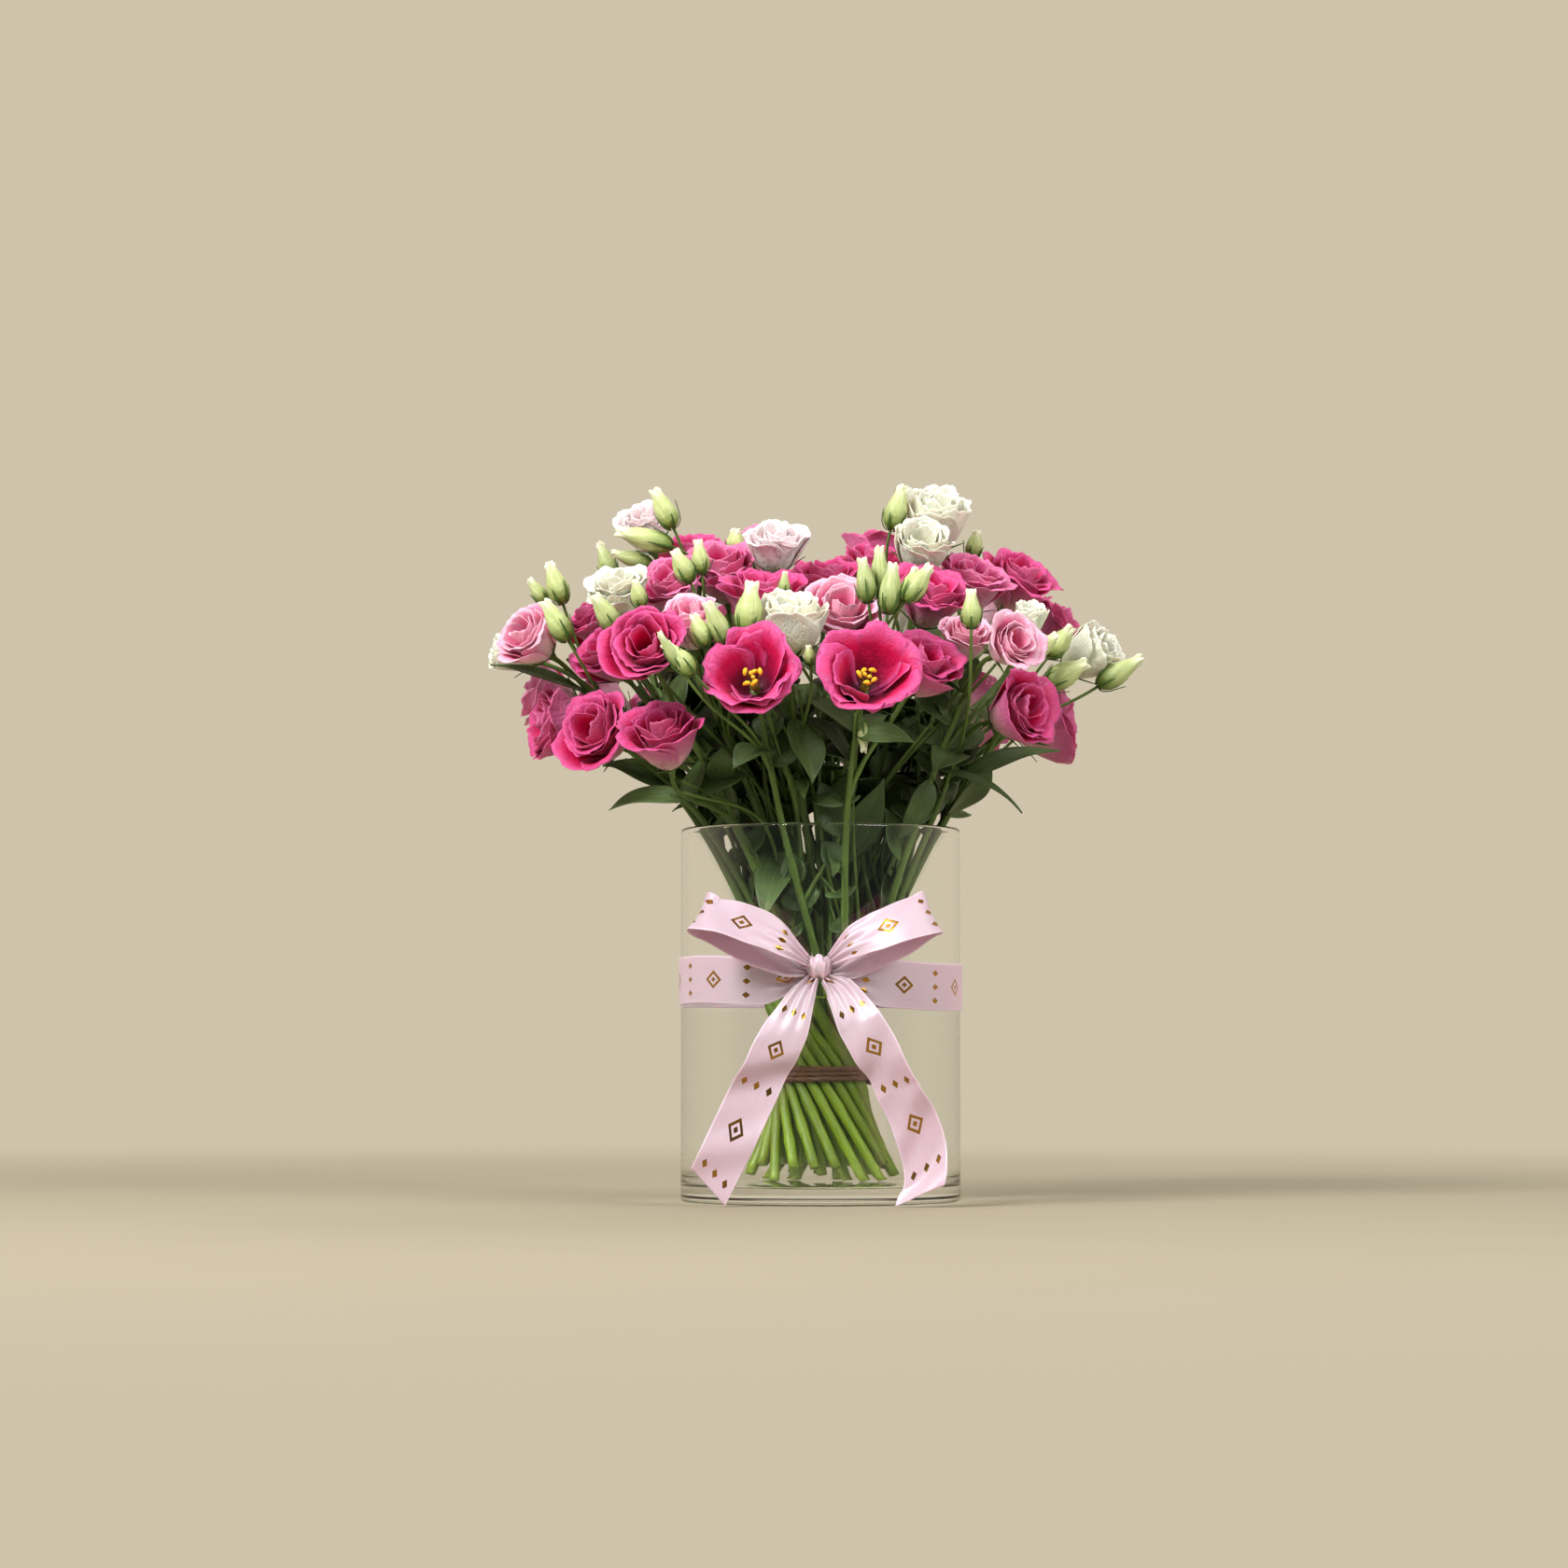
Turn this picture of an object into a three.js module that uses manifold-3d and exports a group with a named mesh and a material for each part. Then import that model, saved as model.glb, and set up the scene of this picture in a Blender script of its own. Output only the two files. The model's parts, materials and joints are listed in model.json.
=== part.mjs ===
// A hand-tied bouquet of lisianthus in a clear glass cylinder vase with water,
// with a twine tie round the stems and a satin ribbon with a bow round the glass.
// Millimetres, +Z up, origin at the middle of the vase's underside, front towards -Y.

import * as THREE from 'three';
import { mergeVertices } from 'three/addons/utils/BufferGeometryUtils.js';
import Module from 'manifold-3d';

// ---------------------------------------------------------------- driving dimensions

const GAP = 0.3; // clearance between pieces that touch
const SLIVER = 0.2; // details finer than this are smoothed away where pieces are fused

const VASE = { radius: 75, height: 200, wall: 3, floor: 9, chamfer: 1.2, sides: 32 };
const WATER_LEVEL = 108;

const TIE_HEIGHT = 68; // the stems cross at the twine tie
const TWINE = { inner: 19, thickness: 1.7, pitch: 2.8, turns: 3, sides: 16 };

const STEM = { foot: 2.3, top: 1.25, sides: 4 };
const STEM_STATIONS = [0, 0.2, 0.44, 0.6, 0.74, 0.86]; // shares of a stem's length
const BRANCH_STATIONS = [0, 0.45];
const BUNDLE_RINGS = [18, 12, 6, 1]; // stems in each ring of the bundle, from the outside
const RING_PITCH = 5.1; // distance from ring to ring at the tie
const FOOT_SPIRAL = 0.031; // sideways slope of a stem below the tie, per mm of its distance
const RIM_REACH = 64.5; // how far from the axis the outer ring passes the vase's rim
const SPIRAL_ADVANCE = THREE.MathUtils.degToRad(78); // turn from a stem's bloom to its place in the tie

const CALYX = { length: 7, radius: 3.1 };
const BUD_STALK = 0.75; // radius of the thin stalk below a bud
const BUD_SIDES = 4;
const LEAF_THICKNESS = 1.3;

const RIBBON = { width: 25, thickness: 0.8 };
const BAND = { lift: 0.5, sides: 40, left: 118.5, right: 114.5, knot: 122, pinch: 36 };
const KNOT = { x: -1.4, z: 124.7, halfWidth: 6.6, halfDepth: 5.5, halfHeight: 6.3 };

const PETALS = 5; // lobes of every whorl
const SEED = 20;

// ---------------------------------------------------------------- materials

const material = (color, roughness, more = {}) =>
  new THREE.MeshStandardMaterial({ color, roughness, metalness: 0, ...more });

const MATERIALS = {
  glass: material(0xe8f0ec, 0.03, { transparent: true, opacity: 0.25 }),
  water: material(0xdce8e0, 0.02, { transparent: true, opacity: 0.3 }),
  greenery: material(0x4c6f2f, 0.6),
  twine: material(0x6b4428, 0.9),
  satin: material(0xe9c3d0, 0.35),
  stamens: material(0xe6b414, 0.6),
  hot: material(0xd8327a, 0.6),
  rose: material(0xdf5c92, 0.6),
  light: material(0xf0a3bf, 0.6),
  pale: material(0xf3d9da, 0.6),
  white: material(0xf4f2e2, 0.6),
};

// ---------------------------------------------------------------- surfaces made from rings

// A closed solid through a row of rings of points, with a flat or pointed cap at each end, or
// closed on itself. Each ring runs anticlockwise seen against the direction of the row.
// Thin blades have their front in the first half of a ring and their back in the second, whose
// quads are cut along the same diagonals, so that the two faces never cross.
function skin(rings, { loop = false, blade = false, endTip } = {}) {
  const count = rings[0].length;
  const points = rings.flat();
  const faces = [];
  const at = (i, j) => (i % rings.length) * count + (j % count);
  const spans = loop ? rings.length : rings.length - 1;
  for (let i = 0; i < spans; i++) {
    for (let j = 0; j < count; j++) {
      const [a, b, c, d] = [at(i, j), at(i, j + 1), at(i + 1, j + 1), at(i + 1, j)];
      const mirrored = blade && j >= count / 2;
      faces.push(...(mirrored ? [a, b, d, b, c, d] : [a, b, c, a, c, d]));
    }
  }
  if (!loop) {
    const last = rings.length - 1;
    const start = points.push(centreOf(rings[0])) - 1;
    const end = points.push(endTip ?? centreOf(rings[last])) - 1;
    for (let j = 0; j < count; j++) {
      faces.push(start, at(0, j + 1), at(0, j));
      faces.push(end, at(last, j), at(last, j + 1));
    }
  }
  const geometry = new THREE.BufferGeometry().setFromPoints(points);
  geometry.setIndex(faces);
  return geometry;
}

function centreOf(points) {
  const sum = points.reduce((total, p) => total.add(p), new THREE.Vector3());
  return sum.divideScalar(points.length);
}

// A round tube along a curve; profile lists [share of the length, radius].
function tube(curve, profile, sides) {
  const steps = 60;
  const frames = curve.computeFrenetFrames(steps);
  const rings = profile.map(([u, radius]) => {
    const k = Math.round(u * steps);
    const centre = curve.getPointAt(u);
    return Array.from({ length: sides }, (_, j) => {
      const angle = (2 * Math.PI * j) / sides;
      return centre.clone()
        .addScaledVector(frames.normals[k], radius * Math.cos(angle))
        .addScaledVector(frames.binormals[k], radius * Math.sin(angle));
    });
  });
  return skin(rings);
}

// A flat strip: stations are [centre, direction across, half width], all in order.
function strip(stations, thickness, loop = false) {
  const last = stations.length - 1;
  const rings = stations.map(([centre, across, halfWidth], i) => {
    const before = stations[i > 0 ? i - 1 : loop ? last : 0][0];
    const after = stations[i < last ? i + 1 : loop ? 0 : last][0];
    const along = after.clone().sub(before).normalize();
    const side = across.clone().addScaledVector(along, -across.dot(along)).normalize();
    const out = along.clone().cross(side);
    const corner = (s, t) => centre.clone()
      .addScaledVector(side, s * halfWidth)
      .addScaledVector(out, (t * thickness) / 2);
    return [corner(1, 1), corner(-1, 1), corner(-1, -1), corner(1, -1)];
  });
  return skin(rings, { loop, blade: true });
}

// A body of revolution about +Z; profile lists [radius, height].
function turned(profile, sides) {
  const points = profile.map(([r, z]) => new THREE.Vector2(r, z));
  return new THREE.LatheGeometry(points, sides).rotateX(Math.PI / 2);
}

// ---------------------------------------------------------------- joining

const wasm = await Module();
wasm.setup();

function toSolid(geometry) {
  const bare = geometry.clone();
  bare.deleteAttribute('normal');
  bare.deleteAttribute('uv');
  const merged = mergeVertices(bare, 1e-4);
  const vertProperties = new Float32Array(merged.attributes.position.array);
  const triVerts = new Uint32Array(merged.index.array);
  return new wasm.Manifold(new wasm.Mesh({ numProp: 3, vertProperties, triVerts }));
}

function fused(geometries) {
  const whole = wasm.Manifold.union(geometries.map(toSolid)).simplify(SLIVER);
  const mesh = whole.getMesh();
  const geometry = new THREE.BufferGeometry();
  geometry.setAttribute('position', new THREE.BufferAttribute(mesh.vertProperties, 3));
  geometry.setIndex(new THREE.BufferAttribute(mesh.triVerts, 1));
  return geometry;
}

// ---------------------------------------------------------------- vase, water and tie

function vaseGeometry() {
  const { radius, height, wall, floor, chamfer, sides } = VASE;
  const inner = radius - wall;
  return turned([
    [0, 0],
    [radius - chamfer, 0],
    [radius, chamfer],
    [radius, height - 1],
    [radius - 1, height],
    [inner + 1, height],
    [inner, height - 1],
    [inner, floor],
    [0, floor],
  ], sides);
}

// Distance of the outermost stem's centre line from the axis, below and just above the tie.
const outerRing = RING_PITCH * 3;
const spread = (z) => outerRing * Math.hypot(1, FOOT_SPIRAL * (z - TIE_HEIGHT));

// The water has one plain hole, in which the bundle stands and which the tie also fits.
function waterGeometry() {
  const outer = VASE.radius - VASE.wall - GAP;
  const bottom = VASE.floor + GAP;
  const clear = STEM.foot + 1.2;
  const hole = [bottom, 30, 48].map((z) => [spread(z) + clear, z]);
  const pastTie = TWINE.inner + TWINE.thickness + 2 * GAP;
  hole.push([pastTie + 0.3, TIE_HEIGHT - 8]);
  hole.push([pastTie + 0.3, TIE_HEIGHT + 8]);
  hole.push([pastTie + 5.5, WATER_LEVEL]);
  return turned([
    [outer, bottom],
    [outer, WATER_LEVEL],
    ...hole.toReversed(),
    [outer, bottom],
  ], VASE.sides);
}

// The turns of twine lie side by side, as a ring with a rounded ridge for each turn.
function twineGeometry() {
  const { inner, thickness, pitch, turns } = TWINE;
  const start = TIE_HEIGHT - (pitch * turns) / 2;
  const profile = [[inner, start + 0.4], [inner + 0.7, start]];
  for (let k = 0; k < turns; k++) {
    profile.push([inner + thickness, start + (k + 0.5) * pitch]);
    profile.push([inner + 0.7, start + (k + 1) * pitch]);
  }
  profile.push([inner, start + pitch * turns - 0.4], [inner, start + 0.4]);
  return turned(profile, TWINE.sides);
}

// ---------------------------------------------------------------- ribbon and bow

const point = (x, y, z) => new THREE.Vector3(x, y, z);

// The band runs round the glass, a little lower on the right, and gathers towards the knot.
function bandGeometry() {
  const reach = VASE.radius + BAND.lift + RIBBON.thickness / 2;
  const stations = [];
  for (let k = 0; k < BAND.sides; k++) {
    const angle = (2 * Math.PI * k) / BAND.sides - Math.PI / 2;
    const fromKnot = Math.abs(THREE.MathUtils.euclideanModulo(angle + 1.5 * Math.PI, 2 * Math.PI) - Math.PI);
    const open = THREE.MathUtils.smoothstep(fromKnot * reach, 0, BAND.pinch);
    const sideHeight = (BAND.left + BAND.right) / 2 + ((BAND.right - BAND.left) / 2) * Math.cos(angle);
    const z = THREE.MathUtils.lerp(BAND.knot, sideHeight, open);
    const halfWidth = THREE.MathUtils.lerp(3.5, RIBBON.width / 2, open);
    const centre = point(reach * Math.cos(angle), reach * Math.sin(angle), z);
    stations.push([centre, point(0, 0, 1), halfWidth]);
  }
  return strip(stations, RIBBON.thickness, true);
}

const BAND_FACE = -(VASE.radius + BAND.lift + RIBBON.thickness);

function knotGeometry() {
  const { x, z, halfWidth, halfDepth, halfHeight } = KNOT;
  return new THREE.SphereGeometry(1, 10, 6)
    .scale(halfWidth, halfDepth, halfHeight)
    .translate(x, BAND_FACE - GAP - halfDepth, z);
}

// Centre line of each piece of the bow, from the knot outwards: x, y, z, then the direction across
// the ribbon and half its width there. A loop's back part comes first and its front part last.
const across = { left: point(0.36, 0.62, 0.7), right: point(-0.4, 0.5, 0.77) };
const BOW = {
  bow_loop_left: [
    [-7.7, -80.4, 121, across.left, 2.2],
    [-17, -79.5, 124.5, across.left, 7.5],
    [-34, -79.5, 134, across.left, 11.8],
    [-52, -80.5, 143.5, across.left, 12.5],
    [-60.5, -84, 149.5, across.left, 12.5],
    [-62.5, -89, 152, across.left, 12.5],
    [-59, -94, 151.5, across.left, 12.5],
    [-46, -97.5, 149, across.left, 12.5],
    [-32, -97, 144, across.left, 11.5],
    [-20, -94, 137, across.left, 9],
    [-7.8, -87, 127.3, across.left, 3],
  ],
  bow_loop_right: [
    [4.9, -80.4, 121.2, across.right, 2.2],
    [14, -79.5, 124.5, across.right, 7.5],
    [30, -79.5, 134.5, across.right, 11.8],
    [46, -80.5, 144, across.right, 12.5],
    [54.5, -84, 150, across.right, 12.5],
    [57, -89, 152.6, across.right, 12.5],
    [53.5, -94, 151.8, across.right, 12.5],
    [42, -97.5, 148, across.right, 12.5],
    [28, -97, 143, across.right, 11.8],
    [16, -94, 137, across.right, 9],
    [5.2, -87, 128, across.right, 3],
  ],
  bow_tail_left: [
    [-4.5, -83, 119.2, point(1, 0, 0.1), 3],
    [-9, -84.5, 112.5, point(1, -0.1, 0.3), 6.5],
    [-17.7, -85, 93.3, point(1, -0.1, 0.4), 11.5],
    [-25.4, -84.5, 78.7, point(1, 0, 0.45), 12.5],
    [-33.2, -83, 63.6, point(1, 0, 0.47), 12.5],
    [-40.5, -81.5, 48.6, point(1, 0, 0.47), 12.5],
    [-47.8, -80.5, 33.5, point(1, 0, 0.47), 12.5],
    [-55.5, -80, 17.5, point(1, 0, -0.05), 12.2],
  ],
  bow_tail_right: [
    [2.2, -83, 118.8, point(1, 0, -0.1), 3],
    [9, -85, 113, point(1, -0.1, -0.2), 8],
    [19.7, -86, 95.1, point(1, -0.1, -0.35), 12.2],
    [30.1, -85, 77.3, point(1, 0, -0.55), 12.5],
    [39.5, -83.5, 60.9, point(1, 0, -0.55), 12.5],
    [49, -82, 43.5, point(1, 0, -0.4), 12.5],
    [53.5, -81, 29, point(1, 0, -0.12), 12.5],
    [54.2, -80.5, 17, point(1, 0, 0.15), 12.5],
    [51.5, -80, 7.5, point(1, 0, 0.4), 12.5],
  ],
};

const bowGeometry = (name) => strip(
  BOW[name].map(([x, y, z, direction, halfWidth]) => [point(x, y, z), direction, halfWidth]),
  RIBBON.thickness,
);

// ---------------------------------------------------------------- blooms

// Profiles of a bloom from its base over its whorls to its middle: share of the radius, share of
// the height, and how strongly the rim there is lobed. The sign shifts each whorl by half a petal.
const PROFILES = {
  full: [
    [0.6, 0.28, 0.02],
    [1, 0.76, 0.1],
    [0.8, 0.64, 0.05],
    [0.72, 0.95, -0.1],
    [0.5, 0.66, 0],
    [0.42, 1, 0.12],
  ],
  open: [
    [0.5, 0.28, 0.02],
    [1, 0.8, 0.1],
    [0.84, 0.74, 0.05],
    [0.78, 0.98, -0.1],
    [0.5, 0.56, 0],
    [0.24, 0.36, 0],
  ],
  cup: [
    [0.8, 0.3, 0.02],
    [1, 0.92, 0.12],
    [0.78, 0.76, 0.04],
    [0.62, 1, -0.12],
    [0.4, 0.74, 0],
    [0.28, 0.98, 0.12],
  ],
};
const BLOOM_BASE = 2.3; // radius of the small flat where the petals meet the calyx
const MIDDLE = 0.55; // a bloom's place is given at this share of its height

// Every bloom in front and on top: tint, profile, place (x, y, z), radius, height, the way it
// faces (turn to the right of the front and rise above the horizon, in degrees), and the bloom
// from whose stem it branches, if it has no stem of its own.
const BLOOMS = {
  open_left: ['hot', 'open', -36, -122, 273, 25, 27, -8, 28],
  open_right: ['hot', 'open', 23, -120, 273, 26, 28, 8, 30],
  behind_open_right: ['hot', 'full', 52, -88, 281, 23, 30, 35, 48, 'open_right'],
  low_right: ['hot', 'full', 104, -62, 259, 22, 32, 48, 14],
  low_left: ['hot', 'full', -82, -98, 243, 23, 34, -18, 52],
  lower_left: ['hot', 'full', -117, -62, 248, 24, 32, -38, 20],
  left_end: ['hot', 'full', -141, -22, 254, 22, 32, -75, 2],
  left_back: ['rose', 'full', -148, 18, 274, 19, 30, -95, 20, 'left_end'],
  left_swirl: ['hot', 'full', -90, -114, 288, 23, 32, -12, 24],
  left_mid: ['hot', 'full', -113, -44, 291, 20, 30, -48, 42],
  left_high: ['hot', 'full', -121, -2, 311, 20, 30, -70, 45],
  top_rose: ['rose', 'full', -52, -8, 339, 22, 32, -12, 58],
  pink_top_left: ['rose', 'full', -79, -36, 327, 20, 30, -30, 48],
  wide_mid: ['hot', 'full', -31, -52, 320, 24, 32, 5, 66],
  wide_top: ['hot', 'full', 3, -4, 332, 25, 32, 10, 72],
  top_mid: ['hot', 'full', 30, 14, 345, 20, 29, 20, 74, 'wide_top'],
  right_mid: ['hot', 'full', 58, -46, 321, 22, 32, 22, 52],
  right_inner: ['rose', 'full', 82, -18, 333, 22, 31, 30, 58],
  right_top: ['hot', 'full', 109, 16, 337, 23, 33, 45, 50],
  right_far: ['hot', 'full', 131, 20, 312, 21, 31, 78, 38],
  arc_left: ['hot', 'full', -71, 36, 350, 18, 29, -25, 66, 'pale_top_left'],
  light_left: ['light', 'full', -155, -38, 300, 18, 29, -48, 30],
  light_mid_left: ['light', 'full', -68, -90, 304, 16, 30, -10, 50],
  light_mid: ['light', 'full', 11, -82, 311, 21, 30, 10, 40],
  light_right: ['light', 'full', 99, -92, 292, 17, 27, 34, 18],
  light_right_back: ['light', 'full', 76, -82, 298, 14, 27, 18, 52, 'light_right'],
  pale_top: ['pale', 'full', -24, -28, 351, 18, 29, 4, 62, 'wide_mid'],
  pale_top_left: ['pale', 'full', -95, 10, 365, 16, 29, -25, 50],
  white_left: ['white', 'full', -106, -62, 322, 18, 27, -25, 58, 'left_swirl'],
  white_top: ['white', 'cup', 63, 8, 368, 17, 33, 18, 58],
  white_top_low: ['white', 'cup', 54, -26, 350, 16, 27, 8, 48, 'white_top'],
  white_mid: ['white', 'cup', -15, -100, 302, 17, 32, 4, 66],
  white_right: ['white', 'cup', 145, -6, 294, 14, 30, 62, 26],
  white_right_bud: ['white', 'cup', 109, -42, 308, 9, 24, 30, 58, 'light_right'],
  white_far_left: ['white', 'cup', -167, -1, 294, 10, 24, -82, 14, 'light_left'],
};

// The back of the bouquet is filled by tiers: height, distance from the axis, number of blooms,
// and the rise of the way they face.
const BACK_TIERS = [
  [262, 126, 6, 20],
  [314, 104, 4, 46],
  [352, 52, 2, 70],
];
const BACK_TINTS = ['hot', 'light', 'hot', 'white', 'rose', 'hot'];

let state = SEED;
function random() {
  state = (state * 16807) % 2147483647;
  return state / 2147483647;
}
const jitter = (size) => (random() * 2 - 1) * size;

function backBlooms() {
  const rows = {};
  BACK_TIERS.forEach(([z, reach, count, rise], tier) => {
    for (let k = 0; k < count; k++) {
      const turn = 90 + (180 * (k + 0.5)) / count + jitter(5);
      const angle = THREE.MathUtils.degToRad(turn - 90);
      const tint = BACK_TINTS[(k * 2 + tier) % BACK_TINTS.length];
      const radius = 24 + jitter(2);
      rows[`back_${tier + 1}_${k + 1}`] = [
        tint, 'full', reach * Math.cos(angle), reach * Math.sin(angle), z + jitter(6),
        radius, radius * 1.35, turn, rise + jitter(8),
      ];
    }
  });
  return rows;
}

// The direction that a bloom or bud faces; turn 0 is towards the front and 90 to the right.
function facing(turn, rise) {
  const [a, e] = [THREE.MathUtils.degToRad(turn), THREE.MathUtils.degToRad(rise)];
  return point(Math.sin(a) * Math.cos(e), -Math.cos(a) * Math.cos(e), Math.sin(e));
}

const blooms = Object.entries({ ...BLOOMS, ...backBlooms() }).map(([name, row]) => {
  const [tint, profile, x, y, z, radius, height, turn, rise, host] = row;
  const direction = facing(turn, rise);
  return { name, tint, profile, middle: point(x, y, z), radius, height, direction, host };
});

// Blooms push each other apart where they would share room: each is taken as two balls, one at
// its rim and one at its foot, and the one that lies further back gives way backwards.
function ballsOf({ middle, direction, radius, height }) {
  const ball = (share, size) => ({
    centre: middle.clone().addScaledVector(direction, (share - MIDDLE) * height),
    size,
  });
  return [ball(0.72, radius), ball(0.32, radius * 0.62)];
}

function overlapOf(one, other) {
  let most = 0;
  for (const a of ballsOf(one)) {
    for (const b of ballsOf(other)) {
      most = Math.max(most, a.size + b.size - a.centre.distanceTo(b.centre));
    }
  }
  return most;
}

const SETTLE_ROUNDS = 60;
for (let round = 0; round < SETTLE_ROUNDS; round++) {
  for (const front of blooms) {
    for (const rear of blooms) {
      if (front === rear || front.middle.y > rear.middle.y) continue;
      const overlap = overlapOf(front, rear);
      rear.middle.y += overlap * 0.5;
    }
  }
}

for (const bloom of blooms) {
  bloom.base = bloom.middle.clone().addScaledVector(bloom.direction, -MIDDLE * bloom.height);
}

function bloomGeometry({ profile, radius, height, direction, base, name }) {
  const sides = PETALS * 2;
  const turn = 0.7 * name.length;
  const rows = [[BLOOM_BASE / radius, 0, 0], ...PROFILES[profile]];
  const rings = rows.map(([r, z, lobe]) => Array.from({ length: sides }, (_, j) => {
    const angle = (2 * Math.PI * j) / sides;
    const wave = 1 + lobe * Math.cos(PETALS * angle);
    return point(
      radius * r * wave * Math.cos(angle + turn),
      radius * r * wave * Math.sin(angle + turn),
      height * z * (1 + (wave - 1) * 0.5),
    );
  }));
  const upright = new THREE.Quaternion().setFromUnitVectors(point(0, 0, 1), direction);
  return skin(rings).applyQuaternion(upright).translate(base.x, base.y, base.z);
}

// Five anthers round a forked pistil, standing on the floor of an open bloom.
function stamensGeometry({ direction, base, height }) {
  const floor = height * 0.36 + GAP;
  const upright = new THREE.Quaternion().setFromUnitVectors(point(0, 0, 1), direction);
  const column = new THREE.CylinderGeometry(1.1, 1.6, 9, 4).rotateX(Math.PI / 2).translate(0, 0, 4.5);
  const pieces = [column];
  for (let k = 0; k < PETALS; k++) {
    const angle = (2 * Math.PI * k) / PETALS;
    const tip = point(Math.cos(angle), Math.sin(angle), 0).multiplyScalar(5).setZ(10.5);
    const stamen = new THREE.LineCurve3(point(0, 0, 1), tip);
    pieces.push(tube(stamen, [[0, 0.5], [0.62, 0.5], [0.82, 1.3], [1, 0.5]], 3));
  }
  for (const side of [-1, 1]) {
    pieces.push(new THREE.SphereGeometry(1, 5, 3).scale(1.8, 1.2, 1.2).translate(side * 1.2, 0, 9.6));
  }
  return fused(pieces).translate(0, 0, floor).applyQuaternion(upright)
    .translate(base.x, base.y, base.z);
}

// ---------------------------------------------------------------- stems, buds and leaves

// Each stem crosses the tie in one of the rings of the bundle: blooms far from the axis have their
// stems in the outer rings, and round each ring the stems keep the order of their blooms.
const azimuthOf = (p) => Math.atan2(p.y, p.x);
const reachOf = (p) => Math.hypot(p.x, p.y);

const curves = {};
const rooted = blooms.filter((bloom) => !bloom.host)
  .sort((a, b) => reachOf(b.middle) - reachOf(a.middle));

function stemCurve(bloom, waistAngle, ring) {
  const waist = point(Math.cos(waistAngle), Math.sin(waistAngle), 0)
    .multiplyScalar(ring * RING_PITCH)
    .setZ(TIE_HEIGHT);
  const below = VASE.floor + GAP + STEM.foot / 2 - TIE_HEIGHT;
  const foot = waist.clone().add(point(waist.y, -waist.x, 0).multiplyScalar(FOOT_SPIRAL * below));
  foot.z = TIE_HEIGHT + below;
  const top = bloom.base.clone().addScaledVector(bloom.direction, -GAP);
  const neck = top.clone().addScaledVector(bloom.direction, -CALYX.length * 2);
  const rimReach = Math.min((RIM_REACH * (ring + 0.3)) / 3.3, reachOf(neck));
  const rimAngle = azimuthOf(neck);
  const rim = point(rimReach * Math.cos(rimAngle), rimReach * Math.sin(rimAngle), VASE.height);
  const shoulder = waist.clone().lerp(rim, 0.2);
  return new THREE.CatmullRomCurve3([foot, waist, shoulder, rim, neck, top], false, 'centripetal');
}

let placed = 0;
BUNDLE_RINGS.forEach((count, k) => {
  const ring = BUNDLE_RINGS.length - 1 - k;
  const members = rooted.slice(placed, placed + count)
    .sort((a, b) => azimuthOf(a.middle) - azimuthOf(b.middle));
  placed += count;
  members.forEach((bloom, i) => {
    const angle = (2 * Math.PI * (i + 0.5)) / members.length - Math.PI + SPIRAL_ADVANCE;
    curves[bloom.name] = stemCurve(bloom, angle, ring);
  });
});

// Stations along a stem or branch: share of its length and radius there. It ends in a calyx, a
// small flared cup that carries the petals.
function stemStations(name) {
  const branch = Boolean(blooms.find((bloom) => bloom.name === name).host);
  const length = curves[name].getLength();
  const calyx = 1 - CALYX.length / length;
  const from = branch ? STEM.top * 1.1 : STEM.foot;
  const stations = (branch ? BRANCH_STATIONS : STEM_STATIONS)
    .filter((u) => u < calyx - 0.04)
    .map((u) => [u, THREE.MathUtils.lerp(from, STEM.top, u * u)]);
  stations.push([calyx, STEM.top], [1 - 3 / length, CALYX.radius * 0.8], [1, CALYX.radius]);
  return stations;
}

// The middle of a stem at a share of its length, on the straight run between its stations.
function placeOnStem(name, share) {
  const shares = stemStations(name).map(([u]) => u);
  const k = shares.findLastIndex((u) => u <= share);
  const [from, to] = [curves[name].getPointAt(shares[k]), curves[name].getPointAt(shares[k + 1])];
  return from.lerp(to, (share - shares[k]) / (shares[k + 1] - shares[k]));
}

// A side branch leaves its host stem at a fork and bends up to its own end.
function branchCurve(host, fork, end, direction) {
  const start = placeOnStem(host, fork);
  const along = curves[host].getTangentAt(fork);
  const reach = start.distanceTo(end) * 0.4;
  return new THREE.CubicBezierCurve3(
    start,
    start.clone().addScaledVector(along, reach),
    end.clone().addScaledVector(direction, -reach),
    end,
  );
}

const FORK = 0.74; // share of the host stem at which a side bloom branches off
for (const bloom of blooms.filter(({ host }) => host)) {
  const top = bloom.base.clone().addScaledVector(bloom.direction, -GAP);
  curves[bloom.name] = branchCurve(bloom.host, FORK, top, bloom.direction);
}

const stemGeometry = ({ name }) => tube(curves[name], stemStations(name), STEM.sides);

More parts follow.
